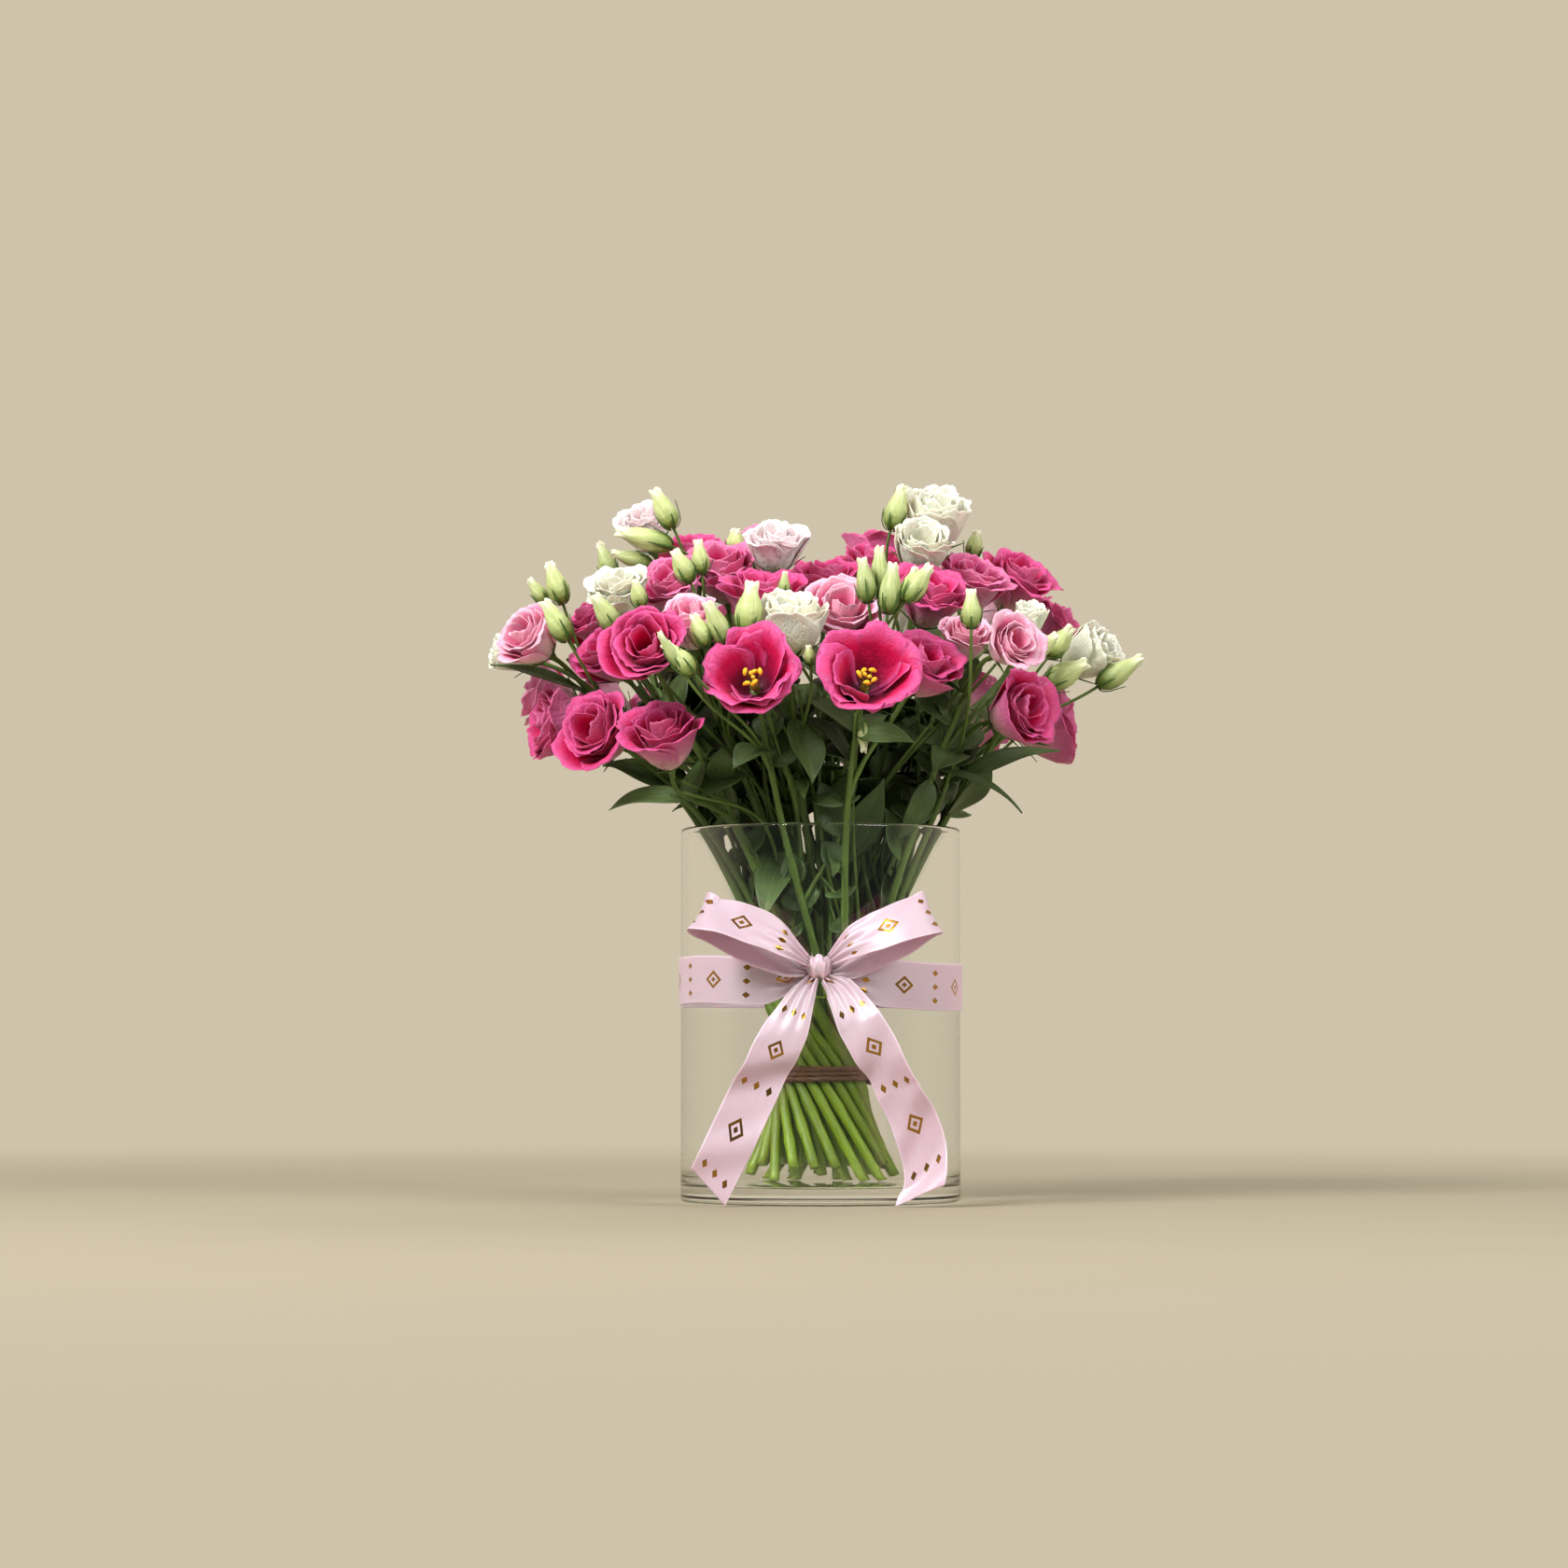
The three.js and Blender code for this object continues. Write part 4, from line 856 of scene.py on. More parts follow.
# The stem a leaf grows from, its height there, its tip, its half width and how its middle is lifted.
LEAVES = [
    ("lower_left", 214, (-116, -30, 232), 9, (-6, -6, 10)),
    ("low_left", 216, (-112, -44, 208), 7, (-6, -6, 8)),
    ("open_left", 236, (-46, -99, 226), 8, (-2, -8, 6)),
    ("white_mid", 250, (-5, -100, 219), 10, (4, -9, 0)),
    ("white_mid", 222, (-9, -84, 212), 4, (0, -5, 2)),
    ("open_right", 246, (48, -98, 240), 7, (0, -6, 4)),
    ("low_right", 240, (58, -82, 226), 10, (0, -8, 4)),
    ("low_right", 219, (127, -36, 240), 9, (4, -4, 8)),
    ("light_right", 228, (106, -50, 206), 5, (8, -4, 6)),
    ("light_mid", 176, (33, -56, 224), 12, (4, -8, 0)),
    ("wide_mid", 194, (-30, -54, 150), 11, (-3, -10, 0)),
    ("light_mid", 196, (6, -62, 172), 6, (3, -6, 0)),
    ("light_right_back", 172, (40, -46, 192), 7, (3, -6, 0)),
    ("white_right", 206, (90, -30, 238), 9, (6, -8, -2)),
    ("left_swirl", 218, (-52, -66, 240), 8, (2, -8, 0)),
    ("light_left", 272, (-176, -30, 286), 6, (-4, -4, 6)),
]
print("buds in front", len(BUDS), "leaves in front", len(LEAVES))

# %% Buds and leaves at the back, by the solid model's rule
SEED = 20
MULTIPLIER, MODULUS = 16807, 2 ** 31 - 1
BACK_BUDS = 8
BACK_LEAVES = 10
DRAWS_BEFORE = 48  # the back blooms took four draws each


def draws(seed):
    """Numbers from 0 to 1: each state is the last one times the multiplier, modulo 2^31 - 1."""
    state = seed
    while True:
        state = state * MULTIPLIER % MODULUS
        yield state / MODULUS


stream = draws(SEED)
for _ in range(DRAWS_BEFORE):
    next(stream)


def jitter(size):
    """The next number of the stream, turned to the range from -size to size."""
    return (next(stream) * 2 - 1) * size


def back_buds():
    """Buds between the blooms at the back, pointing away from the axis."""
    hosts = [n for n in bloom_names if n.startswith(("back_1", "back_2"))]
    rows = []
    for k in range(BACK_BUDS):
        host = hosts[(k * 3 + 1) % len(hosts)]
        centre = middle_of(blooms[host])
        reach = reach_of(centre) + 8 + jitter(3)
        angle = azimuth_of(centre) + 31 / reach
        base = point_at(reach, angle, centre[2] + 19 + jitter(4))
        tip = (base[0] * 1.07, base[1] * 1.07, base[2] + 20 + jitter(3))
        rows.append((host, base, tip, 4.6 + jitter(0.8)))
    return rows


def back_leaves():
    """Leaves below the blooms at the back, pointing away from the axis."""
    hosts = [n for n in bloom_names if n.startswith("back_")]
    rows = []
    for k in range(BACK_LEAVES):
        host = hosts[(k * 5) % len(hosts)]
        angle = azimuth_of(middle_of(blooms[host])) + 0.3 + jitter(0.2)
        start = 208 + 12 * (k % 3)
        reach = 84 + 8 * (k % 3) + jitter(5)
        tip = point_at(reach, angle, start + 8 + jitter(14))
        rows.append((host, start, tip, 8 + jitter(2), point_at(8, angle, 7)))
    return rows


buds = BUDS + back_buds()
leaves = LEAVES + back_leaves()
print("buds", len(buds), "leaves", len(leaves))


# %% Bud material
def bud_material():
    """Closed petals of a bud: waxy and pale, green at the foot and cream at the twisted tip."""
    material, tree = new_material("lisianthus_bud")
    uv = add(tree, "UVMap", {"uv_map": "surface"})
    v = add(tree, "SeparateXYZ", links={0: uv}).outputs[1]
    tone = add(tree, "Attribute", {"attribute_name": "tone"}).outputs["Fac"]
    rise = add(tree, "MapRange", {**SOFT, 1: 0.05, 2: 0.55}, {0: v})
    tip = add(tree, "MapRange", {**SOFT, 1: 0.7, 2: 1.0}, {0: v})
    colour = add(tree, "Mix", {**RGBA, 6: srgb("#788E3C"), 7: srgb("#BCC784")}, {0: rise}).outputs[2]
    colour = add(tree, "Mix", {**RGBA, 7: srgb("#E8E9C4")}, {0: tip, 6: colour}).outputs[2]
    veins, shade = streaked(tree, uv, (30.0, 2.0, 1.0), 2.0, 0.84, 1.1)
    own = add(tree, "MapRange", {3: 0.84, 4: 1.12}, {0: tone})
    bump = add(tree, "Bump", {"Strength": 0.3, "Distance": 0.0004}, {"Height": veins})
    shader = add(tree, "BsdfPrincipled", {
        "Roughness": 0.45,
        "Subsurface Weight": 0.25,
        "Subsurface Radius": (0.8, 1.0, 0.4),
        "Subsurface Scale": 0.003,
    }, {"Base Color": shaded(tree, colour, shade, own), "Normal": bump})
    add(tree, "OutputMaterial", links={0: shader})
    return material


bud_skin = bud_material()
print("bud material", bud_skin.name)

# %% Shape of a bud
# Shares of the bud's length and of its largest radius.
BUD_PROFILE = ((0, 0.32), (0.05, 0.62), (0.16, 0.9), (0.32, 1.0), (0.5, 0.95), (0.66, 0.78), (0.8, 0.58),
               (0.9, 0.48), (0.97, 0.46), (1, 0.4))
BUD_FULLNESS = 1.12  # its largest radius over that of the solid bud
WOUND_PETALS = 4


def bud_outline(t):
    """The bud's radius at a share t of its length, as a share of its largest radius."""
    return np.interp(t, *zip(*BUD_PROFILE))


def bud_body(length, radius, tone, turn):
    """Rings whose radius is the outline times 1 + 0.16 (saw - 0.5), where saw is the fraction part of
    petals angle / 2 pi + 1.1 t. The top ring is frilled."""
    around = np.linspace(0, 2 * np.pi, 32, endpoint=False)
    t, a = np.meshgrid(np.linspace(0, 1, 26), around, indexing="ij")
    saw = (WOUND_PETALS * a / (2 * np.pi) + 1.1 * t) % 1
    r = radius * BUD_FULLNESS * bud_outline(t) * (1 + 0.16 * (saw - 0.5) * smooth(t, 0.05, 0.3))
    r = r * (1 + 0.3 * np.sin(5 * a + turn) * smooth(t, 0.82, 1))
    z = length * (t + 0.05 * np.sin(3 * a + turn + 1.5) * smooth(t, 0.86, 1))
    return tube(np.stack([r * np.cos(a + turn), r * np.sin(a + turn), z], axis=-1), tone)


# %% Shape of a sepal
def sepal_body(reach, height, spread, azimuth, width):
    """A narrow pointed blade that climbs the side of a bud or bloom: reach is a function that gives its
    distance from the axis at each share v of its way. Its half width shrinks to the tip with 1 - v^1.6
    and the tip bends outwards with v^3."""
    v, u = np.mgrid[0:1:9j, -1:1:5j]
    half = width * (1 - v ** 1.6) + 0.12
    r = reach(v) + spread * v ** 3 - 0.2 * np.abs(u)
    a = azimuth + u * half / np.maximum(r, 1)
    grid = np.stack([r * np.cos(a), r * np.sin(a), height * v - 0.8], axis=-1)
    return blade(grid, 0.35, 0.35)


def beside_bud(radius, cover):
    """The reach of a sepal that hugs a bud up to a share of its length."""
    return lambda v: radius * bud_outline(v * cover) * 1.04 + 0.4


def beside_bloom(bloom, cover):
    """The reach of a sepal that lies along the outer petals of a bloom up to a share of their way."""
    side = np.array(KINDS[bloom["kind"]]["open"])
    return lambda v: bezier(side, v * cover)[..., 0] * bloom["radius"] * 1.02 + 1.2


# %% Buds on their stalks
SEPALS = 5
BUD_FORK = 0.78  # a bud's stalk leaves its stem at 78 % of the stem's way
bud_bodies, sepal_bodies = [], []
for number, (host, base, tip, radius) in enumerate(buds):
    base, tip = np.array(base, float), np.array(tip, float)
    axis = unit(tip - base)
    axes = axes_facing(axis)
    length = np.linalg.norm(tip - base)
    body = bud_body(length, radius, chance.uniform(0, 1), number * 1.3)
    bud_bodies.append(in_place(body, axes, base))
    stalk = branch_path(paths[host], BUD_FORK, base + axis * 0.6, axis)
    stem_bodies.append(tube_along(stalk, np.linspace(0.95, 0.8, len(stalk)), 8, chance.uniform(0.3, 0.9)))
    for k in range(SEPALS):
        cover = chance.uniform(0.36, 0.62)
        turn = 2 * math.pi * k / SEPALS + number
        sepal = sepal_body(beside_bud(radius * BUD_FULLNESS, cover), length * cover,
                           chance.uniform(0.3, 2.4), turn, 0.35 + radius * 0.08)
        sepal_bodies.append(in_place(sepal, axes, base))
piece("buds", bud_bodies, bud_skin, "greenery", "stems")
piece("stems_and_branches", stem_bodies, stem_green, "greenery", "stems")
print("buds", len(bud_bodies), "stems and branches", len(stem_bodies))

# %% Sepals
LEAST_SEPAL = 9.0  # the shortest sepal on a bloom
for name, bloom in blooms.items():
    axes = axes_facing(bloom["facing"], chance.uniform(0, 6))
    side = np.array(KINDS[bloom["kind"]]["open"])
    for k in range(SEPALS):
        cover = chance.uniform(0.4, 0.55)
        tall = bezier(side, np.array([cover]))[0, 1] * bloom["height"]
        sepal = sepal_body(beside_bloom(bloom, cover), max(tall, LEAST_SEPAL), chance.uniform(0.5, 3.0),
                           2 * math.pi * k / SEPALS, 1.2)
        sepal_bodies.append(in_place(sepal, axes, bloom["base"]))
sepal_green = greenery_material("lisianthus_sepal", "#46642A", "#4A6A2C")
piece("sepals", sepal_bodies, sepal_green, "greenery", "stems")
print("sepals", len(sepal_bodies))

# %% [markdown]
# ## Leaves
#
# Lisianthus leaves are oval, dark green and matt, with a pale midrib and two side veins, a shallow fold
# along the rib and a slow wave along the margin. Each one is a sheet along a curved rib.

# %% Shape of a leaf
def leaf_body(base, tip, half_width, lift, tone, rows=22, columns=11):
    """A blade along a rib, (1 - t)^2 base + 2 t (1 - t) middle + t^2 tip, whose middle is lifted. Its
    half width goes with sin(pi t^0.75), its sides rise towards the margin, and a wave runs along them."""
    middle = mix(base, tip, 0.5) + lift
    v, u = np.mgrid[0:1:rows * 1j, -1:1:columns * 1j]
    t = v[:, :1]
    rib = (1 - t) ** 2 * base + 2 * t * (1 - t) * middle + t ** 2 * tip
    along = unit(2 * (1 - t) * (middle - base) + 2 * t * (tip - middle))
    side = unit(np.cross(along, unit(lift)))
    up = np.cross(side, along)
    wide = np.maximum(0.35, half_width * np.sin(np.pi * np.clip(t, 0, 1) ** 0.75)) * u
    wave = 0.07 * half_width * np.sin(9 * v + 2 * np.sign(u) + tone * 6) * np.abs(u) ** 2
    rise = 0.25 * half_width * np.abs(u) ** 1.3 * np.sin(np.pi * v) + wave
    grid = rib[:, None] + wide[..., None] * side[:, None] + rise[..., None] * up[:, None]
    return blade(grid, 0.45, tone)


def first_above(path, height):
    """The first point of a stem at or above a height, but no further than 90 % of the stem's way."""
    high = np.nonzero(path[:, 2] >= height)[0]
    last = int(0.9 * (len(path) - 1))
    return path[min(high[0] if len(high) else last, last)]


# %% Large leaves, as on the solid model
leaf_bodies = []
for host, height, tip, half_width, lift in leaves:
    base = first_above(paths[host], height)
    tip, lift = np.array(tip, float), np.array(lift, float)
    leaf_bodies.append(leaf_body(base, tip, half_width, lift, chance.uniform(0, 1)))
print("large leaves", len(leaf_bodies))

# %% Small leaves among the stems
# Smaller leaves fill the dark middle of the bouquet, from just above the bow up to the blooms. Their
# tips stay among the stems, whose reach from the axis grows with the height.
INNER_LEAVES = 170
STEM_REACH = ((108, 22), (150, 35), (200, 54), (245, 76), (300, 100))  # height, reach
for k in range(INNER_LEAVES):
    path = paths[hosts[(k * 7) % len(hosts)]]
    base = first_above(path, chance.uniform(128, 262))
    outward = unit(np.array([base[0], base[1], 0.0]) + 1e-6)
    spin = chance.uniform(-1.3, 1.3)
    aside = np.array([outward[0] * math.cos(spin) - outward[1] * math.sin(spin),
                      outward[0] * math.sin(spin) + outward[1] * math.cos(spin), 0.0])
    size = chance.uniform(26, 46)
    tip = base + aside * size * 0.5 + np.array([0, 0, size * chance.uniform(0.0, 0.85)])
    half_width = size * chance.uniform(0.2, 0.3)
    room = np.interp(tip[2], *zip(*STEM_REACH)) - half_width * 0.5
    tip[:2] *= min(1, room / reach_of(tip))
    lift = aside * size * 0.1 + np.array([0, 0, size * 0.16])
    if base[2] < VASE_HEIGHT:
        lift *= 0.4
    # Their tone comes from the darker part of its range: painted shade of the bouquet's dim middle.
    leaf_bodies.append(leaf_body(base, tip, half_width, lift, chance.uniform(0, 0.7), 14, 9))
print("leaves among the stems", INNER_LEAVES)

# %% Broad leaves deep in the bundle
# Broad leaves on the innermost stems shut out the view through the bouquet.
DEEP_LEAVES = 130
inmost = sorted(rooted, key=lambda n: reach_of(first_above(paths[n], 230)))[:24]  # of 37 stems
for k in range(DEEP_LEAVES):
    base = first_above(paths[inmost[(k * 5) % len(inmost)]], chance.uniform(196, 282))
    aside = point_at(1, chance.uniform(0, 2 * np.pi), 0.0)
    size = chance.uniform(34, 58)
    tip = base + aside * size * 0.7 + np.array([0, 0, size * chance.uniform(0.1, 0.7)])
    tip[:2] *= min(1, (np.interp(tip[2], *zip(*STEM_REACH)) - 8) / reach_of(tip))
    lift = np.array([0, 0, size * 0.12]) + aside * size * 0.1
    half_width = size * chance.uniform(0.26, 0.36)
    # Their tone comes from the dark end of its range: painted shade of the bouquet's deep inside.
    leaf_bodies.append(leaf_body(base, tip, half_width, lift, chance.uniform(0, 0.4), 13, 7))
piece("leaves", leaf_bodies, leaf_green, "greenery", "stems")
print("leaves", len(leaf_bodies))

# %% [markdown]
# ## Twine
#
# The bundle is tied with three turns of brown twine. Twine is three plies twisted together; a torus per
# turn would look like wire. Here one tube winds up the bundle as a helix, and a thinner one lies loosely
# above it. The section of each has three lobes that turn along it, which gives the twist.

# %% Jute
def jute_material():
    """Jute twine is matt and fuzzy. Its fibres, 0.02 mm thick, are drawn as 0.3 mm clumps so that they
    show."""
    material, tree = new_material("jute_twine")
    place = add(tree, "TexCoord").outputs["Object"]
    grain = add(tree, "TexNoise", {"Scale": 3000.0, "Detail": 4.0}, {"Vector": place})
    colour = add(tree, "Mix", {**RGBA, 6: srgb("#2E1A0F"), 7: srgb("#7A5332")}, {0: grain}).outputs[2]
    bump = add(tree, "Bump", {"Strength": 0.5, "Distance": 0.0004}, {"Height": grain})
    shader = add(tree, "BsdfPrincipled", {"Roughness": 0.95}, {"Base Color": colour, "Normal": bump})
    add(tree, "OutputMaterial", links={0: shader})
    return material


# %% Twine
TWINE_REACH, TWINE_RADIUS, TWINE_PITCH, TWINE_TURNS = 20.2, 1.35, 2.5, 3
PLIES = 3
PLY_TWIST = 7.0  # along the twine, from one ply to the next at the same place


def twine_body(turns, radius, start_height, rise, wobble=0.0):
    """A helix of the given turns; round it a section whose radius is 1 + 0.2 cos(plies (a - twist)),
    where the twist grows with the length."""
    way = np.linspace(0, 2 * np.pi * turns, int(190 * turns))
    reach = TWINE_REACH + wobble * np.sin(3 * way)
    z = start_height + rise * way / (2 * np.pi)
    path = np.stack([reach * np.cos(way), reach * np.sin(way), z + wobble * 0.8 * np.sin(2 * way)], axis=1)
    out = np.stack([np.cos(way), np.sin(way), 0 * way], axis=1)
    along = unit(np.gradient(path, axis=0))
    up = -np.cross(out, along)
    a = np.linspace(0, 2 * np.pi, 14, endpoint=False)[None]
    twist = (way * TWINE_REACH / PLY_TWIST * 2 * np.pi / PLIES)[:, None]
    r = radius * (1 + 0.2 * np.cos(PLIES * (a - twist)))
    ring = r[..., None] * (np.cos(a)[..., None] * out[:, None] + np.sin(a)[..., None] * up[:, None])
    return tube((path[:, None] + ring)[:, ::-1])


twine = [twine_body(TWINE_TURNS, TWINE_RADIUS, TIE_HEIGHT - 3.8, TWINE_PITCH),
         twine_body(1, TWINE_RADIUS * 0.6, TIE_HEIGHT + 3.6, 0.4, 0.35)]
piece("twine_tie", twine, jute_material(), "twine", "twine")
print("twine", len(twine), "strands")

# %% [markdown]
# ## Glass and water
#
# The vase is soda-lime glass, blown in a mould, with a thick floor and a fire-polished rim. The water's
# sides reach a little into the glass, so that a ray goes from glass to water with no film of air between
# them, which would shine like a mirror. At the wall the water climbs in a small meniscus. Lamps are let
# through both by a transparent shader for shadow rays alone, because a path tracer finds the light
# behind glass only slowly.

# %% Clear materials
def clear_material(name, colour, refraction):
    """A clear body: it refracts by its own index, and lets the light of lamps pass."""
    material, tree = new_material(name)
    body = add(tree, "BsdfPrincipled", {
        "Base Color": srgb(colour),
        "Roughness": 0.0,
        "IOR": refraction,
        "Transmission Weight": 1.0,
    })
    path = add(tree, "LightPath")
    through_it = add(tree, "BsdfTransparent", {"Color": srgb(colour)})
    both = add(tree, "MixShader", links={0: path.outputs["Is Shadow Ray"], 1: body, 2: through_it})
    add(tree, "OutputMaterial", links={0: both})
    return material


soda_glass = clear_material("soda_lime_glass", "#FEFFFE", 1.5)
clear_water = clear_material("clear_water", "#FEFFFE", 1.333)
print("clear materials", soda_glass.name, clear_water.name)


# %% Lathe
def arc(centre, radius, start, end, count=9):
    """Points on a circle from one angle to another, in degrees."""
    a = np.radians(np.linspace(start, end, count))
    return np.stack([centre[0] + radius * np.cos(a), centre[1] + radius * np.sin(a)], axis=1)


def lathe(profile, sides=160):
    """A body of revolution: each point (r, z) of the profile becomes a ring."""
    a = np.linspace(0, 2 * np.pi, sides, endpoint=False)
    r, z = np.asarray(profile, float).T
    rings = [np.outer(r, np.cos(a)), np.outer(r, np.sin(a)), np.outer(z, np.ones(sides))]
    return tube(np.stack(rings, axis=-1))


# %% Vase
FILLET, FOOT_ROUND = 6.0, 2.5  # radii, inside the floor and round the foot
HEM = 0.6  # from an arc's end to the next point, so that the shading of the arc stays on the arc
inner = VASE_RADIUS - VASE_WALL
vase_profile = np.concatenate([
    [(1, 0.7), (50, 0.7), (60, 0.35), (66, 0.0), (VASE_RADIUS - FOOT_ROUND - HEM, 0)],
    arc((VASE_RADIUS - FOOT_ROUND, FOOT_ROUND), FOOT_ROUND, -90, 0),
    [(VASE_RADIUS, FOOT_ROUND + HEM), (VASE_RADIUS, VASE_HEIGHT - VASE_WALL)],
    arc((VASE_RADIUS - VASE_WALL / 2, VASE_HEIGHT - VASE_WALL / 2), VASE_WALL / 2, 0, 180, 13),
    [(inner, VASE_HEIGHT - VASE_WALL), (inner, VASE_FLOOR + FILLET + HEM)],
    arc((inner - FILLET, VASE_FLOOR + FILLET), FILLET, 0, -90),
    [(inner - FILLET - HEM, VASE_FLOOR), (1, VASE_FLOOR)],
])
piece("vase_glass", [lathe(vase_profile)], soda_glass, "glass", "vase")
print("vase", VASE_RADIUS * 2, "by", VASE_HEIGHT, "mm")

# %% Water
INTO_GLASS = 0.15
wet = inner + INTO_GLASS
water_profile = np.concatenate([
    [(1, VASE_FLOOR - INTO_GLASS), (wet - FILLET - HEM, VASE_FLOOR - INTO_GLASS)],
    arc((wet - FILLET, VASE_FLOOR + FILLET - INTO_GLASS), FILLET, -90, 0),
    [(wet, VASE_FLOOR + FILLET + HEM), (wet, WATER_LEVEL), (wet, WATER_LEVEL + 1.5)],
    [(wet - 0.5, WATER_LEVEL + 0.9), (wet - 1.2, WATER_LEVEL + 0.4), (wet - 2.4, WATER_LEVEL + 0.1)],
    [(wet - 4, WATER_LEVEL), (wet - 8, WATER_LEVEL), (1, WATER_LEVEL)],
])
piece("water_body", [lathe(water_profile)], clear_water, "water", "water")
print("water to", WATER_LEVEL, "mm")

# %% [markdown]
# ## Satin ribbon
#
# The ribbon is 25 mm double-face satin: polyester floats lie along its length and give a broad, silky
# highlight. It goes round the glass once, is knotted at the front and tied in a bow of two loops and two
# tails. At the knot the full width is squeezed into a few millimetres, so it must pleat: the section
# across the ribbon is a sine whose depth makes up for the width that is lost. A cloth simulation would
# find such pleats only with a very fine mesh, so they are worked out.

# %% Foil lozenges
RIBBON_WIDTH = 25.0
MOTIF_STEP = 46.0  # along the ribbon, from one large lozenge to the next
LARGE, SMALL = (5.5, 7.0), (1.7, 2.6)  # half width and half length of a lozenge
ROW_STEP = 7.2  # from one small lozenge to the next in their row
FRAME_LINE, FRAME_HALF, HEART = 0.72, 0.16, 0.26  # as shares of the large lozenge


def lozenge(tree, x, y, size):
    """|x| / half width + |y| / half length, which is below 1 inside a lozenge. x and y aren't negative."""
    wide = add(tree, "Math", {"operation": "DIVIDE", 1: size[0]}, {0: x})
    long = add(tree, "Math", {"operation": "DIVIDE", 1: size[1]}, {0: y})
    return add(tree, "Math", {"operation": "ADD"}, {0: wide, 1: long})


def foil_pattern(tree, aside, along):
    """1 on the foil and 0 beside it, in millimetres from the ribbon's middle line and along it: a large
    lozenge with an open middle and a heart, and halfway to the next one a row of three small lozenges."""
    step = add(tree, "Math", {"operation": "PINGPONG", 1: MOTIF_STEP / 2}, {0: along})
    reach = lozenge(tree, aside, step, LARGE)
    frame_line = add(tree, "Math", {"operation": "LESS_THAN", 1: FRAME_HALF},
                     {0: away_from(tree, reach, FRAME_LINE)})
    heart = add(tree, "Math", {"operation": "LESS_THAN", 1: HEART}, {0: reach})
    large = add(tree, "Math", {"operation": "MAXIMUM"}, {0: frame_line, 1: heart})
    row = add(tree, "Math", {"operation": "PINGPONG", 1: ROW_STEP / 2}, {0: aside})
    halfway = add(tree, "Math", {"operation": "SUBTRACT", 0: MOTIF_STEP / 2}, {1: step})
    small = add(tree, "Math", {"operation": "LESS_THAN", 1: 1.0}, {0: lozenge(tree, row, halfway, SMALL)})
    return add(tree, "Math", {"operation": "MAXIMUM"}, {0: large, 1: small})


# %% Satin material
SELVEDGE_START, SELVEDGE_FULL = 1.0, 0.7  # millimetres from the ribbon's edge
WEFT_STEP = 0.5  # threads of 0.1 mm, drawn each 0.5 mm so that they show


def satin_material():
    """Pale pink polyester satin: anisotropic gloss across the floats, a fine rib, a woven selvedge, and
    small plain lozenges of gold foil, stamped on the face, of which the back shows only a faint shade.
    The UV is in metres: u across the ribbon and v along it."""
    material, tree = new_material("pink_satin_ribbon")
    uv = add(tree, "UVMap", {"uv_map": "surface"})
    in_mm = add(tree, "VectorMath", {"operation": "SCALE", "Scale": 1000.0}, {0: uv})
    across, along = add(tree, "SeparateXYZ", links={0: in_mm}).outputs[:2]
    aside = away_from(tree, across, RIBBON_WIDTH / 2)
    edge = {1: RIBBON_WIDTH / 2 - SELVEDGE_START, 2: RIBBON_WIDTH / 2 - SELVEDGE_FULL}
    selvedge = add(tree, "MapRange", edge, {0: aside})
    rib = add(tree, "Math", {"operation": "MULTIPLY", 1: 2 * math.pi / WEFT_STEP}, {0: along})
    rib = add(tree, "Math", {"operation": "SINE"}, {0: rib})
    streaks_at = add(tree, "Mapping", {"Scale": (2.2, 0.05, 1.0)}, {0: in_mm})
    streaks = add(tree, "TexNoise", {"Scale": 1.0, "Detail": 3.0}, {"Vector": streaks_at})
    satin = add(tree, "Mix", {**RGBA, 6: srgb("#C8A8B4"), 7: srgb("#D7C0CA")}, {0: streaks}).outputs[2]
    satin = add(tree, "Mix", {**RGBA, 7: srgb("#E4C3D0")}, {0: selvedge, 6: satin}).outputs[2]
    motif = foil_pattern(tree, aside, along)
    face = add(tree, "Attribute", {"attribute_name": "inside"}).outputs["Fac"]
    foil = add(tree, "Math", {"operation": "MULTIPLY"}, {0: motif, 1: face})
    ghost = add(tree, "Math", {"operation": "MULTIPLY", 1: 0.14}, {0: motif})
    colour = add(tree, "Mix", {**RGBA, 7: srgb("#8A4A5C")}, {0: ghost, 6: satin}).outputs[2]
    colour = add(tree, "Mix", {**RGBA, 7: srgb("#B98A3C")}, {0: foil, 6: colour}).outputs[2]
    gloss = add(tree, "MapRange", {3: 0.4, 4: 0.22}, {0: foil})
    bump = add(tree, "Bump", {"Strength": 0.12, "Distance": 0.0001}, {"Height": rib})
    bump = add(tree, "Bump", {"Strength": 0.15, "Distance": 0.0003}, {"Height": streaks, "Normal": bump})
    tangent = add(tree, "Tangent", {"direction_type": "UV_MAP", "uv_map": "surface"})
    shader = add(tree, "BsdfPrincipled", {
        "Anisotropic": 0.4,
        "Sheen Weight": 0.4,
        "Sheen Roughness": 0.35,
        "Sheen Tint": srgb("#FADCE7"),
        "Specular IOR Level": 1.0,
        "Subsurface Weight": 0.6,
        "Subsurface Radius": (1.0, 0.45, 0.6),
        "Subsurface Scale": 0.002,
    }, {"Base Color": colour, "Roughness": gloss, "Metallic": foil, "Normal": bump, "Tangent": tangent})
    add(tree, "OutputMaterial", links={0: shader})
    return material


satin = satin_material()
print("ribbon material", satin.name)

# %% A pleated strip
PLEATS = 3
RIBBON_THICK = 0.35
STRIP_COLUMNS = 37
WAVE_LENGTH = 52.0  # of the slanting wave that bends a loop or a tail


